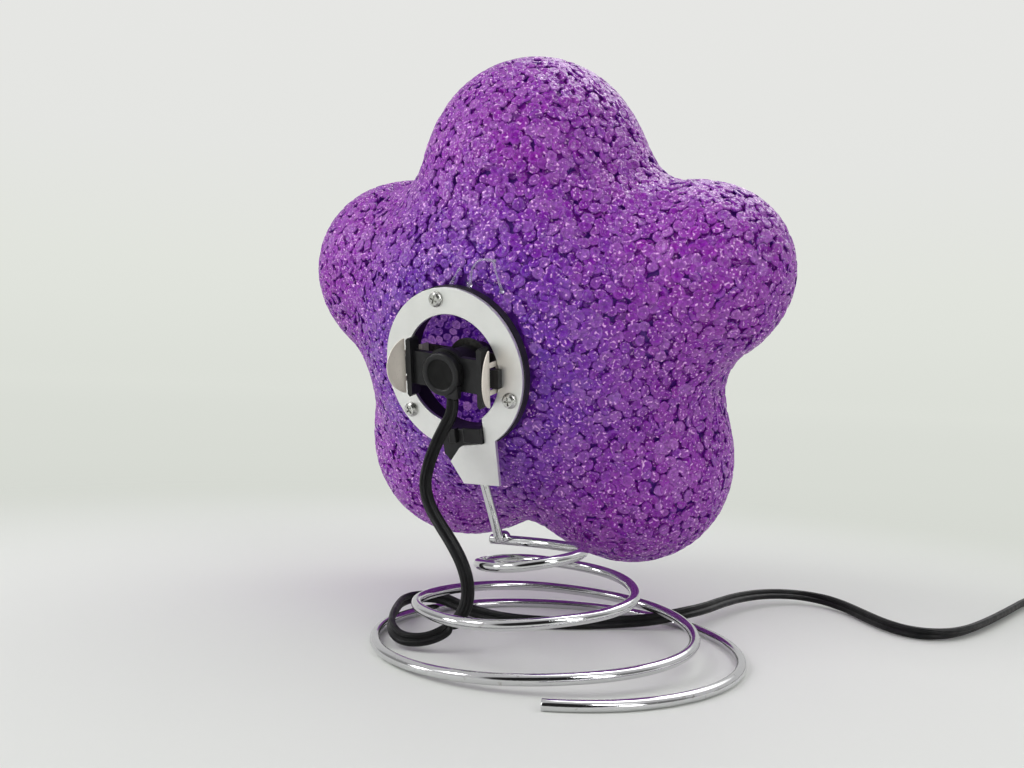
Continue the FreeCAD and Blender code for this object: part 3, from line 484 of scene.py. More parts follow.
# Which way the flat lead's width points, at some of the points above; between them it turns evenly.
leadWidthHints = [
    (0, (1.0, 0.1, 0.0)), (2, (0.85, 0.5, 0.0)), (4, (0.6, 0.8, 0.0)), (6, (0.5, 0.8, 0.4)), (9, (0.6, 0.55, 0.55)),
    (11, (0.5, 0.7, 0.3)), (14, (0.0, 0.35, 0.95)), (18, (0.2, 0.0, 1.0)), (21, (0.0, 0.25, 1.0)),
    (24, (-0.1, 0.1, 1.0)), (27, (-0.2, 0.3, 0.9)), (30, (-0.75, 0.0, 0.6)), (33, (-0.5, 0.5, 0.7)),
    (36, (0.1, 0.3, 1.0)), (40, (0.6, 0.0, 0.8)), (44, (0.5, -0.3, 0.8)), (47, (0.9, 0.0, 0.4)), (50, (1.0, 0.0, 0.1)),
    (52, (0.4, 0.0, 1.0)), (54, (0.0, 0.0, 1.0)),
]


# The put-away turns: in on the lower layer, up in half a turn, then out again on the upper layer.
def bundlePoints():
    r = leadRoute
    turn = np.arange(1, int((2 * r["coilTurns"] + 0.5) * r["turnsPoints"]) + 1) / r["turnsPoints"]
    inner = r["coilOuter"] - r["coilTurns"] * r["coilPitch"]
    climb = np.clip((turn - r["coilTurns"]) * 2, 0, 1)
    size = np.where(turn <= r["coilTurns"], r["coilOuter"] - r["coilPitch"] * turn,
                    np.where(climb < 1, inner - r["coilTuck"] * np.sin(np.pi * climb),
                             inner + r["coilPitch"] * (turn - r["coilTurns"] - 0.5)))
    size = size / math.cos(math.pi / r["turnsPoints"])
    angle = np.pi + 2 * np.pi * turn
    return np.stack([r["coilCentre"][0] + size * np.cos(angle), r["coilCentre"][1] + size * np.sin(angle),
                     r["coilBase"] + r["coilLayer"] * climb], axis=1)


# The points of a NURBS spline of order 3 through its control points, as Blender works them out.
def splineLine(name, controls, resolution):
    data = bpy.data.curves.new(name, "CURVE")
    data.dimensions = "3D"
    spline = data.splines.new("NURBS")
    spline.points.add(len(controls) - 1)
    spline.points.foreach_set("co", np.c_[controls, np.ones(len(controls))].astype(np.float32).ravel())
    spline.order_u = 3
    spline.use_endpoint_u = True
    spline.resolution_u = resolution
    carrier = bpy.data.objects.new(name, data)
    mesh = bpy.data.meshes.new_from_object(carrier)
    line = np.zeros(len(mesh.vertices) * 3, np.float32)
    mesh.vertices.foreach_get("co", line)
    bpy.data.meshes.remove(mesh)
    bpy.data.objects.remove(carrier)
    bpy.data.curves.remove(data)
    return line.reshape(-1, 3).astype(float)


# Two round conductors side by side, with a groove between them; one carries fine ribs along it.
def leadSection():
    r = leadRoute
    radius = r["thickness"] / 2
    apart = r["width"] / 2 - radius
    turn = np.radians(np.linspace(-r["sideTurn"], r["sideTurn"], r["sidePoints"][0]))
    ribs = 1 + r["ribHeight"] / radius * np.cos(turn * r["ribs"]) * (np.abs(turn) < r["ribReach"])
    right = np.stack([apart + radius * ribs * np.cos(turn), radius * ribs * np.sin(turn)], axis=1)
    turn = np.radians(np.linspace(180 - r["sideTurn"], 180 + r["sideTurn"], r["sidePoints"][1]))
    left = np.stack([-apart + radius * np.cos(turn), radius * np.sin(turn)], axis=1)
    return np.concatenate([right, left])


# The flat lead: its section carried along the route's spline, turned so that its width follows the hints.
def makeLead():
    turns = bundlePoints()
    end = turns[-1] + np.array([(0, run, 0) for run in leadRoute["endRun"]])
    controls = np.concatenate([np.array(leadPoints), turns, end])
    line = splineLine("leadRoute", controls, leadRoute["resolution"])
    share = np.clip(np.linspace(0, len(controls) - 2, len(line)) + 0.5, 0, len(controls) - 1)
    share[0] = 0
    hintAt = np.array([i for i, _ in leadWidthHints], float)
    hintTo = unitRows(np.array([v for _, v in leadWidthHints], float))
    width = np.stack([np.interp(share, hintAt, hintTo[:, k]) for k in range(3)], axis=1)
    normals = np.cross(width, unitRows(np.gradient(line, axis=0)))
    piece = tubePiece("flatLead", line, normals, leadSection())
    finishPiece(piece, "lead", replaced=("cord_lead", "cord_tail", "cord_coil"))
    return piece, line


lead, leadLine = makeLead()
print("lead made: %.3f m" % np.linalg.norm(np.diff(leadLine, axis=0), axis=1).sum())


# The shade: five tapered lobes and a core, melted together, covered with pellets

starForm = {
    "lobeAngles": (86.3, 159.1, 229.0, 304.0, 377.3),  # degrees from +X, the top one first
    "lobeLengths": (0.0890, 0.1009, 0.0909, 0.0886, 0.1047),
    "lobeTips": (0.0573, 0.0511, 0.0565, 0.0542, 0.0434),
    "lobeRoot": 0.0667,
    "core": 0.0751,
    "blend": 0.0136,
    "centre": (-0.0008, 0.08828, 0.0020),  # in the head's axes
    "backPlane": -0.08188,
    "holeRadius": 0.0380,
    "seatRounding": 0.0035,
    "farthest": 0.2,
    "halvings": 26,
}


# How far points are outside the star: a soft minimum over the core's and the five lobes' distances.
def starDistance(points):
    form = starForm
    root = form["lobeRoot"]
    parts = [np.linalg.norm(points, axis=-1) - form["core"]]
    for degrees, length, tip in zip(form["lobeAngles"], form["lobeLengths"], form["lobeTips"]):
        c, s = math.cos(math.radians(degrees)), math.sin(math.radians(degrees))
        share = np.clip((points[..., 0] * c + points[..., 2] * s) / length, 0, 1)
        offset = points - (share * length)[..., None] * np.array([c, 0, s])
        parts.append(np.linalg.norm(offset, axis=-1) - root - (tip - root) * share)
    total = sum(np.exp(-p / form["blend"]) for p in parts)
    return -form["blend"] * np.log(total)


# The star cut by its flat back, with the corner between them rounded.
def shadeDistance(points):
    star, seat, k = starDistance(points), starForm["backPlane"] - points[..., 1], starForm["seatRounding"]
    return k * np.logaddexp(star / k, seat / k)


# How far out along each direction from the star's centre the surface lies, by halving the span again and again.
def surfaceRadius(directions, inset):
    low, high = np.zeros(len(directions)), np.full(len(directions), starForm["farthest"])
    for _ in range(starForm["halvings"]):
        middle = (low + high) / 2
        inside = shadeDistance(directions * middle[:, None]) < -inset
        low, high = np.where(inside, middle, low), np.where(inside, high, middle)
    return low


# The direction in which the distance grows fastest, by small differences.
def surfaceNormals(points):
    step = 1e-5
    slopes = [shadeDistance(points + step * axis) - shadeDistance(points - step * axis) for axis in np.eye(3)]
    return unitRows(np.stack(slopes, axis=-1))


# The star's own centre, then the head's axes.
def starToWorld(points):
    return headToWorld(points + np.array(starForm["centre"]))


# Pairs of points nearer than reach, found by sorting them into cubes of that size and matching cube with cube.
def nearPairs(points, reach):
    cell = np.floor(points / reach).astype(np.int64)
    cell -= cell.min(0) - 1
    size = cell.max(0) + 2
    key = (cell[:, 0] * size[1] + cell[:, 1]) * size[2] + cell[:, 2]
    order = np.argsort(key, kind="stable")
    ranked = key[order]
    firsts, seconds = [], []
    for dx, dy, dz in np.ndindex(3, 3, 3):
        shifted = key + ((dx - 1) * size[1] + dy - 1) * size[2] + dz - 1
        low, high = np.searchsorted(ranked, shifted, "left"), np.searchsorted(ranked, shifted, "right")
        count = high - low
        within = np.arange(count.sum()) - np.repeat(np.cumsum(count) - count, count)
        firsts.append(np.repeat(np.arange(len(points)), count))
        seconds.append(order[np.repeat(low, count) + within])
    first, second = np.concatenate(firsts), np.concatenate(seconds)
    near = (first != second) & (np.linalg.norm(points[first] - points[second], axis=1) < reach)
    return first[near], second[near]


pelletSettings = {
    "candidates": 70000,
    "outer": {"leastGap": 0.0038, "spacing": 0.0046, "radius": 0.0033, "halfThickness": 0.00115, "inset": 0.0012},
    "deep": {"leastGap": 0.0044, "spacing": 0.0052, "radius": 0.0034, "halfThickness": 0.0008, "inset": 0.0029},
    "inner": {"leastGap": 0.0040, "spacing": 0.0047, "radius": 0.0028, "halfThickness": 0.0011, "inset": 0.0064},
    "rounds": 6,
    "pushShare": 0.2,
    "segments": 10,
    "rings": [(0.36, 0.25), (0.76, 0.95), (1.0, 0.30), (0.90, -0.8)],  # radius and height shares, from top to bottom
    # Per ring: the share of painted shade under each pellet, then of painted highlight on its rim.
    "ringUnderShade": (0.12, 0.0, 0.22, 1.0),
    "paintedRimHighlight": (0.0, 0.26, 0.16, 0.0),
    "sizeSpread": 0.11,
    "flatShare": 0.82,  # of the pellets lie nearly flat, by this many degrees; the rest stand tilted between two more
    "flatTilt": 12,
    "steepTilt": (18, 55),
    "softEdge": 0.0003,
    "drawnIn": 0.0002,
    # From the star's axis: where painted light through the lobes fades in.
    "paintedLobeLightReach": (0.030, 0.115),
    "holeMargin": 0.0035,
    "backBand": 0.01,
    "middleReach": 0.062,
    "innerFrom": 0.004,
    "wallInsets": (0.0040, 0.0052),
    "wallGrid": (90, 160),
    "wallPole": 0.002,
}


# Which points to keep so that no two are nearer than the gap and no bare patch is left: each round keeps every point
# that outranks all its living neighbours, and drops those neighbours.
def thinnedOut(points, gap, rng):
    first, second = nearPairs(points, gap)
    rank = rng.permutation(len(points))
    alive, kept = np.ones(len(points), bool), np.zeros(len(points), bool)
    while alive.any():
        living = alive[first] & alive[second]
        first, second = first[living], second[living]
        best = np.full(len(points), len(points))
        np.minimum.at(best, first, rank[second])
        winners = alive & (rank < best)
        kept |= winners
        alive &= ~winners
        alive[second[winners[first]]] = False
    return kept


# Points over the star: random ones by area, thinned out, then pushed a little apart and set back on the surface.
def spreadOverStar(layer, seed):
    s = pelletSettings
    leastGap, spacing, inset = layer["leastGap"], layer["spacing"], layer["inset"]
    rng = np.random.default_rng(seed)
    directions = unitRows(rng.normal(size=(s["candidates"], 3)))
    radius = surfaceRadius(directions, inset)
    points = directions * radius[:, None]
    facing = np.clip((surfaceNormals(points) * directions).sum(1), 0.15, 1)
    area = radius ** 2 / facing
    points = points[rng.random(len(points)) < area / np.quantile(area, 0.97)]
    points = points[thinnedOut(points, leastGap, rng)]
    for _ in range(s["rounds"]):
        first, second = nearPairs(points, spacing)
        apart = points[first] - points[second]
        distance = np.linalg.norm(apart, axis=1, keepdims=True)
        push = apart / np.maximum(distance, 1e-9) * (spacing - distance) * s["pushShare"]
        moved = np.stack([np.bincount(first, push[:, k], len(points)) for k in range(3)], axis=1)
        directions = unitRows(points + moved)
        points = directions * surfaceRadius(directions, inset)[:, None]
    return points


# Every pellet's rings at once: centre + ring radius * (cos, sin) across it + height along it. What would stand out of
# the star is drawn back by a soft step, edge * log(1 + exp(distance / edge)), with a little to spare.
def pelletRings(points, normals, rng, layer, outward):
    s, count = pelletSettings, len(points)
    rings = np.array(s["rings"])
    tilt = np.where(rng.random(count) < s["flatShare"], np.abs(rng.normal(0, s["flatTilt"], count)),
                    rng.uniform(*s["steepTilt"], count))
    spin, lean = rng.random((2, count, 1)) * 2 * np.pi
    helper = np.where(np.abs(normals[:, 2:]) < 0.9, [[0.0, 0.0, 1.0]], [[1.0, 0.0, 0.0]])
    across = unitRows(np.cross(helper, normals))
    along = np.cross(normals, across)
    tilt = np.radians(tilt)[:, None]
    up = normals * np.cos(tilt) + (across * np.cos(lean) + along * np.sin(lean)) * np.sin(tilt)
    first = unitRows(np.cross(up, across + 0.3 * along))
    second = np.cross(up, first)
    turn = spin + turnAngles(s["segments"])
    size = layer["radius"] * rng.normal(1.0, s["sizeSpread"], count).clip(0.75, 1.25)
    uneven = (1 + 0.10 * np.cos(2 * turn + lean) + 0.06 * np.cos(3 * turn - 2 * lean)
              + 0.035 * np.cos(5 * turn + 3 * lean))
    reach = (size[:, None] * uneven)[:, None, :] * rings[None, :, 0, None]
    height = (layer["halfThickness"] * rng.uniform(0.75, 1.3, count))[:, None, None] * rings[None, :, 1, None]
    ripple = 1 + 0.25 * np.cos(turn + 5 * lean)[:, None, :]
    shapes = (points[:, None, None]
              + (reach * np.cos(turn)[:, None])[..., None] * first[:, None, None]
              + (reach * np.sin(turn)[:, None])[..., None] * second[:, None, None]
              + (height * ripple)[..., None] * up[:, None, None])
    beyond = s["softEdge"] * np.logaddexp(0, (shadeDistance(shapes) + s["drawnIn"]) / s["softEdge"]) * outward
    return shapes - beyond[..., None] * normals[:, None, None]


# One mesh of many pellets, each a top face, bands of quads and a bottom face.
def pelletPiece(name, points, normals, rng, look, layer, outward=1.0):
    s = pelletSettings
    shapes = pelletRings(points, normals, rng, layer, outward)
    count, rings, segments = shapes.shape[:3]
    perPellet = rings * segments
    quads = loopFaces(rings, segments)[:, ::-1]
    top, bottom = np.arange(segments), np.arange(perPellet - segments, perPellet)[::-1]
    loops = np.concatenate([quads.ravel(), top, bottom])
    starts = np.concatenate([np.arange(len(quads)) * 4, [quads.size, quads.size + segments]])
    allLoops = (loops[None] + perPellet * np.arange(count)[:, None]).ravel()
    allStarts = (starts[None] + len(loops) * np.arange(count)[:, None]).ravel()
    reach = np.linalg.norm(points[:, [0, 2]], axis=1)
    # Painted light through the thinner lobes, growing away from the star's axis, none on the inside.
    paintedLobeLight = smoothStep(*s["paintedLobeLightReach"], reach) * 0.9 * outward + rng.normal(0, 0.08, count)
    tone = rng.random(count) ** 2.5
    spread = np.ones((count, rings, segments))
    # Per point: painted lobe light, random tone plus painted rim highlight, and painted shade underneath.
    attributes = {
        "paintedLobeLight": paintedLobeLight.clip(0, 1)[:, None, None] * spread,
        "tone": (tone[:, None] + s["paintedRimHighlight"])[..., None] * spread,
        "depth": np.array(s["ringUnderShade"])[:, None] * spread,
    }
    piece = makeMesh(name, starToWorld(shapes).reshape(-1, 3), allLoops, allStarts, attributes)
    return finishPiece(piece, look)


# A layer's points without those in the hole's way, their normals, and which sixth of the star each belongs to.
def shadeLayer(layer, seed):
    s, form = pelletSettings, starForm
    points = spreadOverStar(layer, seed)
    holeOff = np.linalg.norm(points[:, [0, 2]] + np.array(form["centre"])[[0, 2]], axis=1)
    inWay = (holeOff < form["holeRadius"] + s["holeMargin"]) & (points[:, 1] < form["backPlane"] + s["backBand"])
    points = points[~inWay]
    turn = np.degrees(np.arctan2(points[:, 2], points[:, 0]))[:, None] - np.array(form["lobeAngles"])
    lobe = np.argmin(np.abs((turn + 180) % 360 - 180), axis=1)
    middle = np.linalg.norm(points[:, [0, 2]], axis=1) < s["middleReach"]
    return points, surfaceNormals(points), np.where(middle, 5, lobe)


# The pellets of the outside in six parts, with a layer behind them, darker as painted shade, that fills the gaps.
def makeShade():
    s = pelletSettings
    rng = np.random.default_rng(11)
    parts = ("topLobe", "leftLobe", "lowerLeftLobe", "lowerRightLobe", "rightLobe", "middle")
    points, normals, part = shadeLayer(s["outer"], 11)
    for k, name in enumerate(parts):
        pelletPiece("pellets_" + name, points[part == k], normals[part == k], rng, "pellets", s["outer"])
    print("outer pellets:", len(points))
    points, normals, part = shadeLayer(s["deep"], 23)
    for name, chosen in (("upper", np.isin(part, (0, 1, 4))), ("lower", np.isin(part, (2, 3, 5)))):
        pelletPiece("pellets_deep_" + name, points[chosen], normals[chosen], rng, "deepPellets", s["deep"])
    print("deep pellets:", len(points))


# The wall behind the pellets: rings of directions round the line from the centre to the hole, from the hole's edge to
# the front, once outside and once back inside.
def wallPiece():
    s = pelletSettings
    rings, columns = s["wallGrid"]
    toHole = np.array([-starForm["centre"][0], starForm["backPlane"], -starForm["centre"][2]])
    axis = unitRows(toHole)
    side = unitRows(np.cross(axis, [0, 0, 1]))
    other = np.cross(side, axis)
    holeTurn = math.atan2(starForm["holeRadius"], np.linalg.norm(toHole))
    polar = np.linspace(holeTurn, math.pi - s["wallPole"], rings)[:, None, None]
    turn = turnAngles(columns)[None, :, None]
    directions = np.cos(polar) * axis + np.sin(polar) * (np.cos(turn) * side + np.sin(turn) * other)
    flat = directions.reshape(-1, 3)
    outer, inner = ((flat * surfaceRadius(flat, inset)[:, None]).reshape(rings, columns, 3)
                    for inset in s["wallInsets"])
    piece = stackPiece("shadeWall", starToWorld(np.concatenate([inner[::-1], outer])))
    # Coloured with the painted shade between the pellets.
    return finishPiece(piece, "depth", replaced=("shade_back", "shade_front"))


# Pellets on the inside of the front wall, which the hole shows, paler and glowing as painted light through the wall.
def makeInnerPellets():
    layer = pelletSettings["inner"]
    points = spreadOverStar(layer, 5)
    points = points[points[:, 1] > pelletSettings["innerFrom"]]
    rng = np.random.default_rng(5)
    pelletPiece("pellets_inside", points, -surfaceNormals(points), rng, "innerPellets", layer, outward=0.0)


makeShade()
wallPiece()
makeInnerPellets()
print("shade made")


# The chromed wire: the coil, its upright and their weld

wireForm = {
    "radius": 0.0025,
    "coilCentre": (0.0516, -0.0450),
    "firstTurnDegrees": 26.0,
    "drift": (0.0033, 0.0010),
    "cutQuarters": 12.967,
    "ringPoints": 32,
    "stepsBetween": 28,
    "bevel": 0.0004,
    "flatBelow": 0.00201,
    "leastHeight": 0.00001,
    "rodTop": (0.0074, 0.0043, -0.0488),  # in the head's axes
    "rodFoot": (0.0146, 0.0043, -0.0895),
    "rodEndSizes": (0.84, 0.95, 0.93, 0.8),
    "rodRipple": 0.05,
    "rippleSpan": (0.86, 0.97),  # shares of the rod's length, from the top
    "rippleSteps": 180,
    "weldGap": 0.00005,
}
coilReach = [24.4, 27.6, 26.6, 38.2, 45.4, 52.0, 58.6, 64.2, 70.1, 73.9, 80.2, 83.7, 87.8, 89.8]  # millimetres
coilHeight = [46.3, 42.4, 36.9, 33.4, 29.2, 22.4, 17.4, 14.9, 10.7, 6.0, 2.0, 2.0, 2.0, 2.0]


# The wire's centre line: its end behind the upright, then a point each quarter turn, clockwise.
def coilKnots():
    w = wireForm
    foot = headToWorld(np.array(w["rodFoot"])) + np.array([0, 2 * w["radius"] + w["weldGap"], 0])
    start = [foot + np.array([-0.0087, -0.0001, -0.0005]), foot, foot + np.array([0.0360, -0.0048, 0.0022])]
    quarters = np.minimum(np.arange(len(coilReach)), w["cutQuarters"])
    angle = np.radians(w["firstTurnDegrees"] - 90 * quarters)
    size, late = np.array(coilReach) / 1000, (quarters - 7) / 4
    turns = np.stack([w["coilCentre"][0] + w["drift"][0] * late + size * np.cos(angle),
                      w["coilCentre"][1] + w["drift"][1] * late + size * np.sin(angle),
                      np.array(coilHeight) / 1000], axis=1)
    return np.concatenate([np.array(start), turns])


# Each knot's direction: its two chords weighted by the inverse of their lengths, mirrored at the ends.
def knotTangents(knots):
    chords = np.diff(knots, axis=0)
    lengths = np.linalg.norm(chords, axis=1, keepdims=True)
    inner = unitRows(chords[:-1] / lengths[:-1] ** 2 + chords[1:] / lengths[1:] ** 2)
    along = unitRows(chords[-1])
    last = unitRows(2 * along * (along @ inner[-1]) - inner[-1])
    return np.concatenate([unitRows(chords[:1]), inner, last[None]])


# A cubic through the knots: the four blending polynomials of t, with each chord's length as the handles' size.
def hermiteLine(knots, tangents, steps):
    chords = np.linalg.norm(np.diff(knots, axis=0), axis=1)
    turning = np.arccos(np.clip((tangents[:-1] * tangents[1:]).sum(1), -1, 1))
    handles = (chords * (1 + turning ** 2 / 24 * 1.6))[:, None, None]
    t = np.linspace(0, 1, steps, endpoint=False)[None, :, None]
    a, b = knots[:-1, None], knots[1:, None]
    da, db = tangents[:-1, None] * handles, tangents[1:, None] * handles
    line = ((2 * t ** 3 - 3 * t ** 2 + 1) * a + (t ** 3 - 2 * t ** 2 + t) * da
            + (3 * t ** 2 - 2 * t ** 3) * b + (t ** 3 - t ** 2) * db)
    return np.concatenate([line.reshape(-1, 3), knots[-1:]])


# The coil: a tube along the knots' curve, flat on the table where its knots are, with rounded cut ends.
def makeCoil():
    w = wireForm
    knots = coilKnots()
    tangents = knotTangents(knots)
    tangents[knots[:, 2] <= w["flatBelow"], 2] = 0
    tangents = unitRows(tangents)
    line = hermiteLine(knots, tangents, w["stepsBetween"])
    steps = w["bevel"] * np.array([0, 0.3, 1])[:, None]
    line = np.concatenate([line[0] + tangents[0] * steps, line[1:-1], line[-1] - tangents[-1] * steps[::-1]])
    sizes = np.ones(len(line))
    sizes[:2] = 1 - w["bevel"] / w["radius"], 1 - w["bevel"] * 0.3 / w["radius"]
    sizes[-2:] = sizes[1::-1]
    normals = np.tile([0.0, 0.0, 1.0], (len(line), 1))
    points = tubePoints(line, normals, circleSection(w["radius"], w["ringPoints"]), sizes)
    points[..., 2] = np.maximum(points[..., 2], w["leastHeight"])
    piece = stackPiece("coilWire", points, flip=True)
    finishPiece(piece, "chrome", replaced=("coil_base",))


# The upright: a straight tube with rounded ends, whose size ripples where it is welded to the foot,
# 1 + ripple * cos(share * steps).
def makeUpright():
    w = wireForm
    top, foot = headToWorld(np.array(w["rodTop"])), headToWorld(np.array(w["rodFoot"]))
    share = np.concatenate([[0, 0.004, 0.012], np.linspace(0.03, 0.985, 40), [0.995, 1.0]])
    line = top + (foot - top) * share[:, None]
    sizes = np.ones(len(share))
    sizes[[0, 1, -2, -1]] = w["rodEndSizes"]
    sizes *= 1 + w["rodRipple"] * smoothStep(*w["rippleSpan"], share) * np.cos(share * w["rippleSteps"])
    normals = np.tile([0.0, -1.0, 0.0], (len(line), 1))
    piece = tubePiece("uprightWire", line, normals, circleSection(w["radius"], w["ringPoints"]), sizes)
    finishPiece(piece, "chrome", replaced=("upright_rod",))


makeCoil()
makeUpright()
print("wire made")


# The socket's cap and its two finger clips

capSettings = {
    "rings": [(0.0001, -0.0092), (0.0070, -0.0092), (0.0074, -0.0093), (0.0077, -0.0096), (0.0080, -0.0099),
              (0.0084, -0.0100), (0.0096, -0.0100), (0.0102, -0.0098), (0.0106, -0.0094), (0.0107, -0.0088),
              (0.0107, -0.0050), (0.0105, -0.00465), (0.0001, -0.00465)],  # radius, how far into the shade
    "recessRings": 4,
    "segments": 64,
    "neckMiddle": (0.0054, -0.0069),
    "neckHalf": (0.0041, 0.0022),
    "neckSquareness": 0.35,  # below 1, so that the ellipse becomes a rounded rectangle
    "neckHeights": (-0.0040, -0.0060, -0.0085, -0.0108, -0.0114, -0.0116),
    "neckSizes": (1.0, 1.0, 1.0, 0.98, 0.93, 0.84),
    "neckSegments": 40,
}


# The cap: its rings spun round, with a plain sunken middle, and a neck of rounded section for the lead.
def makeCap():
    c = capSettings
    rings, columns, split = np.array(c["rings"]), c["segments"], c["recessRings"]
    turn = turnAngles(columns)
    spun = np.stack([rings[:, :1] * np.cos(turn), rings[:, 1:] + 0 * turn, rings[:, :1] * np.sin(turn)], axis=-1)
    spun = socketToWorld(spun)
    recess = quadPiece("capRecess", spun[:split], loopFaces(split, columns)[:, ::-1], (np.arange(columns),))
    finishPiece(recess, "recess")
    rows = len(rings) - split + 1
    last = (rows - 1) * columns + np.arange(columns)[::-1]
    body = quadPiece("capBody", spun[split - 1:], loopFaces(rows, columns)[:, ::-1], (last,))
    finishPiece(body, "black", replaced=("socket_cap",))
    ellipse = circleSection(1.0, c["neckSegments"])
    section = np.sign(ellipse) * np.abs(ellipse) ** c["neckSquareness"] * c["neckHalf"]
    points = np.zeros((len(c["neckHeights"]), len(section), 3))
    points[..., :2] = np.array(c["neckMiddle"]) + section * np.array(c["neckSizes"])[:, None, None]
    points[..., 2] = np.array(c["neckHeights"])[:, None]
    finishPiece(stackPiece("capNeck", socketToWorld(points), flip=True), "black")


clipSettings = {
    "leg": [(0.0251, 0.0147), (0.0251, 0.0095), (0.0280, 0.0046), (0.0254, 0.0020), (0.0251, -0.0046)],
    "legHalf": 0.0080,
    "windowHalf": 0.0055,
    "windowFrom": 0.0010,
    "thickness": 0.0006,
    "flareDegrees": 17.0,
    "tabHalf": 0.0140,
    "tabBase": 0.0008,
    "tabLength": 0.0108,
    "dish": 0.0009,
    "tabGrid": (41, 9),
    "windowStep": 0.0001,
}


# A strip with a thickness: each row's centres, left and right of the sheet's middle by half of it, joined all round.
def sheetPiece(name, middles, normals, body, flip):
    half = clipSettings["thickness"] / 2
    there, back = middles + half * normals, (middles - half * normals)[:, ::-1]
    piece = stackPiece(name, socketToWorld(np.concatenate([there, back], axis=1)), flip, smooth=False)
    return finishPiece(piece, "spring", body)


# One clip: a leg bent along its line, with a window for the bridge's lug, and a half-round tab, foot + reach * outward,
# dished by 4 v (1 - v) (1 - u^2).
def makeClip(side, body, node):
    c = clipSettings
    mirror = np.array([side, 1, 1])
    line = np.array(c["leg"]) + [c["thickness"] / 2, 0]
    aboveWindow = np.vstack([line[:-1], [line[-2, 0] - c["windowStep"], c["windowFrom"]]])
    window, edge = c["windowHalf"], c["legHalf"]
    strips = [("clipLegUpper_", line, window, edge), ("clipLegLower_", line, -edge, -window),
              ("clipLeg_", aboveWindow, -window, window)]
    for name, path, low, high in strips:
        middles = np.zeros((3, len(path), 3))
        middles[..., :2], middles[..., 2] = path, np.linspace(low, high, 3)[:, None]
        slope = np.gradient(path, axis=0)
        across = unitRows(np.stack([slope[:, 1], -slope[:, 0], 0 * slope[:, 0]], axis=1))
        sheetPiece(name + body, middles * mirror, across * mirror, body, flip=side < 0)
    flare = math.radians(c["flareDegrees"])
    outward = np.array([math.sin(flare), -math.cos(flare), 0])
    normal = np.array([math.cos(flare), math.sin(flare), 0])
    rows, columns = c["tabGrid"]
    u, v = np.linspace(-1, 1, rows)[:, None], np.linspace(0, 1, columns)[None, :]
    rise = c["tabLength"] - c["tabBase"]
    radius = (c["tabHalf"] ** 2 + rise ** 2) / (2 * rise)
    reach = c["tabLength"] - radius + np.sqrt(radius ** 2 - (u * c["tabHalf"]) ** 2)
    dish = c["dish"] * 4 * v * (1 - v) * (1 - u ** 2)
    middles = ((*line[-1], 0) + (reach * v)[..., None] * outward + dish[..., None] * normal
               + (u * c["tabHalf"] + 0 * v)[..., None] * np.array([0, 0, 1]))
    tab = sheetPiece("fingerTab_" + body, middles * mirror, normal * mirror, body, flip=side > 0)
    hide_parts(node)


makeCap()
makeClip(-1, "left_clip", "finger_clip_left")
makeClip(1, "right_clip", "finger_clip_right")
print("cap and clips made")


# The tie round the put-away coil of the lead

tieSettings = {
    "radial": (0.0276, 0.0406),  # from the coil's centre
    "height": (0.0002, 0.0134),
    "thickness": 0.0008,
    "width": 0.0050,
    "corner": 0.0030,
}


# A band round the turns' cross-section: a rounded rectangle, corner + radius * direction, with inner and outer edges.
def makeTie():
    t = tieSettings
    quarter = np.repeat(np.arange(4), 7) * np.pi / 2
    turn = quarter + np.tile(np.linspace(0, np.pi / 2, 7), 4)
    sides = np.sign(np.stack([np.cos(quarter + np.pi / 4), np.sin(quarter + np.pi / 4)], axis=1))
    low, high = np.array([t["radial"], t["height"]]).T
    corners = (low + high) / 2 + sides * ((high - low) / 2 - t["corner"])
    direction = np.stack([np.cos(turn), np.sin(turn)], axis=1)
    x, y = leadRoute["coilCentre"]
    edges = []
    for depth, side in [(0, -1), (0, 1), (t["thickness"], 1), (t["thickness"], -1)]:
        ring = corners + direction * (t["corner"] - depth)
        edges.append(np.stack([x + side * t["width"] / 2 + 0 * turn, y - ring[:, 0], ring[:, 1]], axis=1))
    faces = loopFaces(len(turn), 4, closedRows=True)
    piece = quadPiece("coilTie", np.stack(edges, axis=1), faces, smooth=False)
    finishPiece(piece, "black")


makeTie()
print("tie made")


# The glue strings over the ring

glueSettings = {
    "radius": 0.00055,
    "segments": 10,
    "resolution": 10,
    "startSize": 1.5,
    "middleLoss": 0.7,
    "dabGrid": (12, 18),
    "dabFlatness": 0.55,
    "dabUnevenness": 0.18,
}
glueStrings = [  # in the head's axes: right, into the shade, up
    [(0.0120, 0.0070, 0.0420), (0.0140, 0.0060, 0.0475), (0.0185, 0.0048, 0.0525), (0.0245, 0.0046, 0.0535),
     (0.0290, 0.0058, 0.0520)],
    [(0.0275, 0.0060, 0.0525), (0.0280, 0.0060, 0.0480), (0.0285, 0.0070, 0.0430), (0.0290, 0.0080, 0.0385)],
    [(0.0010, 0.0078, 0.0425), (0.0035, 0.0070, 0.0460), (0.0060, 0.0085, 0.0490)],
]
glueDabs = [(0.0115, 0.0068, 0.0408, 0.0016), (0.0290, 0.0082, 0.0375, 0.0013), (0.0005, 0.0075, 0.0415, 0.0014)]


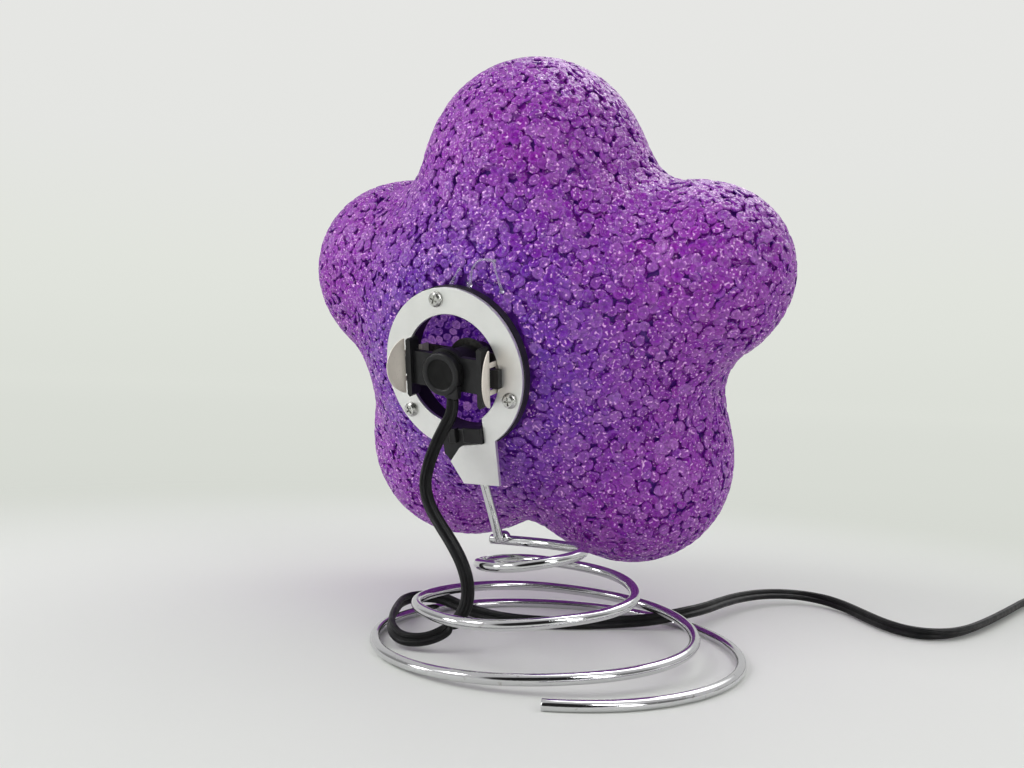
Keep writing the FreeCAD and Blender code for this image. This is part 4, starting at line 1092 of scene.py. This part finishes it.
# Thin strings along their splines, thicker at their ends, start - loss * sin(pi * share), and three flattened dabs.
def makeGlue():
    g = glueSettings
    for k, controls in enumerate(glueStrings):
        line = splineLine("glueLine", headToWorld(np.array(controls)), g["resolution"])
        sizes = g["startSize"] - g["middleLoss"] * np.sin(np.pi * np.linspace(0, 1, len(line)))
        normals = np.tile([0.0, -1.0, 0.3], (len(line), 1))
        piece = tubePiece("glueString%d" % k, line, normals, circleSection(g["radius"], g["segments"]), sizes)
        finishPiece(piece, "glue")
    rows, columns = g["dabGrid"]
    polar, turn = np.linspace(0.02, np.pi - 0.02, rows)[:, None], turnAngles(columns)
    ball = np.stack([np.sin(polar) * np.cos(turn), g["dabFlatness"] * np.cos(polar) + 0 * turn,
                     np.sin(polar) * np.sin(turn)], axis=-1)
    for k, (x, y, z, size) in enumerate(glueDabs):
        uneven = 1 + g["dabUnevenness"] * np.cos(3 * turn + k) * np.sin(polar)
        points = headToWorld(ball * uneven[..., None] * size + np.array([x, y, z]))
        dab = stackPiece("glueDab%d" % k, points)
        finishPiece(dab, "glue", replaced=("glue_blobs",) if k == 0 else ())


makeGlue()
print("glue made")


# The stage: a pale floor that fades into the background, and plain soft light

stageSettings = {
    "floorRadius": 6.0,
    "floorSides": 96,
    "fadeFrom": 0.26,
    "fadeTo": 0.62,
    "floorColour": (0.795, 0.81, 0.780),
    "farFloor": [(0.06, (0.665, 0.686, 0.638)), (0.15, (0.686, 0.708, 0.658)), (0.24, (0.694, 0.716, 0.665)),
                 (0.70, (0.712, 0.734, 0.683)), (1.0, (0.720, 0.742, 0.690))],
    "backdrop": [(0.0, (0.720, 0.742, 0.690)), (0.055, (0.742, 0.764, 0.712)), (0.10, (0.756, 0.776, 0.726)),
                 (0.21, (0.779, 0.786, 0.763)), (0.36, (0.794, 0.796, 0.778))],
    "skyLight": 0.60,
    "room": 0.62,
}
roomLobes = [  # what the glossy surfaces see besides the room: direction, inner and outer cosine, brightness
    ((0.46, -0.74, 0.44), 0.89, 0.78, 0.02),
    ((0.95, 0.05, 0.10), 0.97, 0.86, 0.20),
    ((-0.95, -0.20, 0.05), 0.97, 0.88, 0.30),
    ((0.05, 0.55, 0.83), 0.97, 0.82, 3.00),
    ((0.74, -0.20, 0.64), 0.990, 0.965, 1.30),
    ((-0.49, -0.66, 0.56), 0.990, 0.970, 1.30),
    ((-0.45, -0.66, 0.60), 0.9950, 0.9905, 11.0),
    ((0.72, -0.30, 0.62), 0.9960, 0.9915, 10.0),
    ((0.10, 0.30, 0.95), 0.9960, 0.9915, 10.0),
    ((-0.78, -0.58, 0.22), 0.9950, 0.9905, 11.0),
    ((0.96, -0.22, 0.18), 0.9955, 0.9910, 10.0),
]


# Two shaders mixed by a factor: the first at 0, the second at 1.
def mixShaders(tree, factor, first, second):
    return addNode(tree, "ShaderNodeMixShader", {"Fac": factor, 1: first, 2: second}).outputs["Shader"]


# A flat disc whose colour goes over to the background's by distance from the lamp.
def makeFloor():
    s = stageSettings
    points = np.c_[circleSection(s["floorRadius"], s["floorSides"]), np.zeros(s["floorSides"])]
    floor = makeMesh("floor", points, np.arange(s["floorSides"]), np.array([0]), smooth=False)
    material, tree, shader = newMaterial("floor")
    setInputs(tree, shader, {"Base Color": (*s["floorColour"], 1), "Roughness": 0.55, "Specular IOR Level": 0.2})
    place = addNode(tree, "ShaderNodeTexCoord").outputs["Object"]
    length = addNode(tree, "ShaderNodeVectorMath", {0: place}, operation="LENGTH").outputs["Value"]
    fade = rangeNode(tree, length, s["fadeFrom"], s["fadeTo"], 0, 1, "SMOOTHSTEP")
    farColour = rampNode(tree, rangeNode(tree, length, 0, s["floorRadius"], 0, 1), s["farFloor"])
    glow = addNode(tree, "ShaderNodeEmission", {"Color": farColour}).outputs["Emission"]
    surface = mixShaders(tree, fade, shader.outputs["BSDF"], glow)
    tree.links.new(surface, tree.nodes["Material Output"].inputs["Surface"])
    floor.data.materials.append(material)


# Camera and transmitted rays see the pale backdrop, glossy rays a room with soft boxes and dark corners, and the rest
# an even soft light. A lobe's share of the room is a soft step of the cosine between a direction and the lobe's own.
def makeWorld():
    s = stageSettings
    world = bpy.data.worlds.new("studio")
    bpy.context.scene.world = world
    world.use_nodes = True
    tree = world.node_tree
    tree.nodes.clear()
    direction = addNode(tree, "ShaderNodeTexCoord").outputs["Generated"]
    height = addNode(tree, "ShaderNodeSeparateXYZ", {0: direction}).outputs["Z"]
    room = (s["room"],) * 3
    for axis, inner, outer, level in roomLobes:
        aim = tuple(unitRows(np.array(axis)))
        cosine = addNode(tree, "ShaderNodeVectorMath", {0: direction, 1: aim}, operation="DOT_PRODUCT").outputs["Value"]
        share = rangeNode(tree, cosine, outer, inner, 0, 1, "SMOOTHSTEP")
        room = mixColours(tree, share, room, (level,) * 3)
    shown, reflected, lit = (addNode(tree, "ShaderNodeBackground", {"Color": colour, "Strength": strength}).outputs[0]
                             for colour, strength in ((rampNode(tree, height, s["backdrop"]), 1.0), (room, 1.0),
                                                      ((1, 1, 1, 1), s["skyLight"])))
    rays = addNode(tree, "ShaderNodeLightPath").outputs
    seen = addNode(tree, "ShaderNodeMath", {0: rays["Is Camera Ray"], 1: rays["Is Transmission Ray"]},
                   operation="MAXIMUM").outputs[0]
    surface = mixShaders(tree, seen, mixShaders(tree, rays["Is Glossy Ray"], lit, reflected), shown)
    addNode(tree, "ShaderNodeOutputWorld", {"Surface": surface})


lamps = [  # name, place, aims at, size, watts
    ("softLeft", (-0.70, -0.95, 0.92), (0.0, 0.0, 0.12), 1.1, 8.9),
    ("softRight", (1.1, -0.2, 0.95), (0.0, 0.0, 0.12), 0.9, 1.6),
    ("rearTop", (0.25, 0.95, 1.05), (0.0, 0.0, 0.2), 1.1, 2.6),
]


# Soft round lamps that look from their place to their aim.
def makeLamps():
    for name, place, aim, size, watts in lamps:
        data = bpy.data.lights.new(name, "AREA")
        data.shape, data.size, data.energy = "DISK", size, watts
        lamp = bpy.data.objects.new(name, data)
        lamp.visible_glossy = False  # the room's own lobes stand for the lamps in reflections
        back = unitRows(np.array(place) - np.array(aim))
        right = unitRows(np.cross([0, 0, 1], back))
        placeObject(lamp, right, np.cross(back, right), back, place)


makeFloor()
makeWorld()
makeLamps()
bpy.context.scene.view_settings.view_transform = "Standard"
print("stage made")
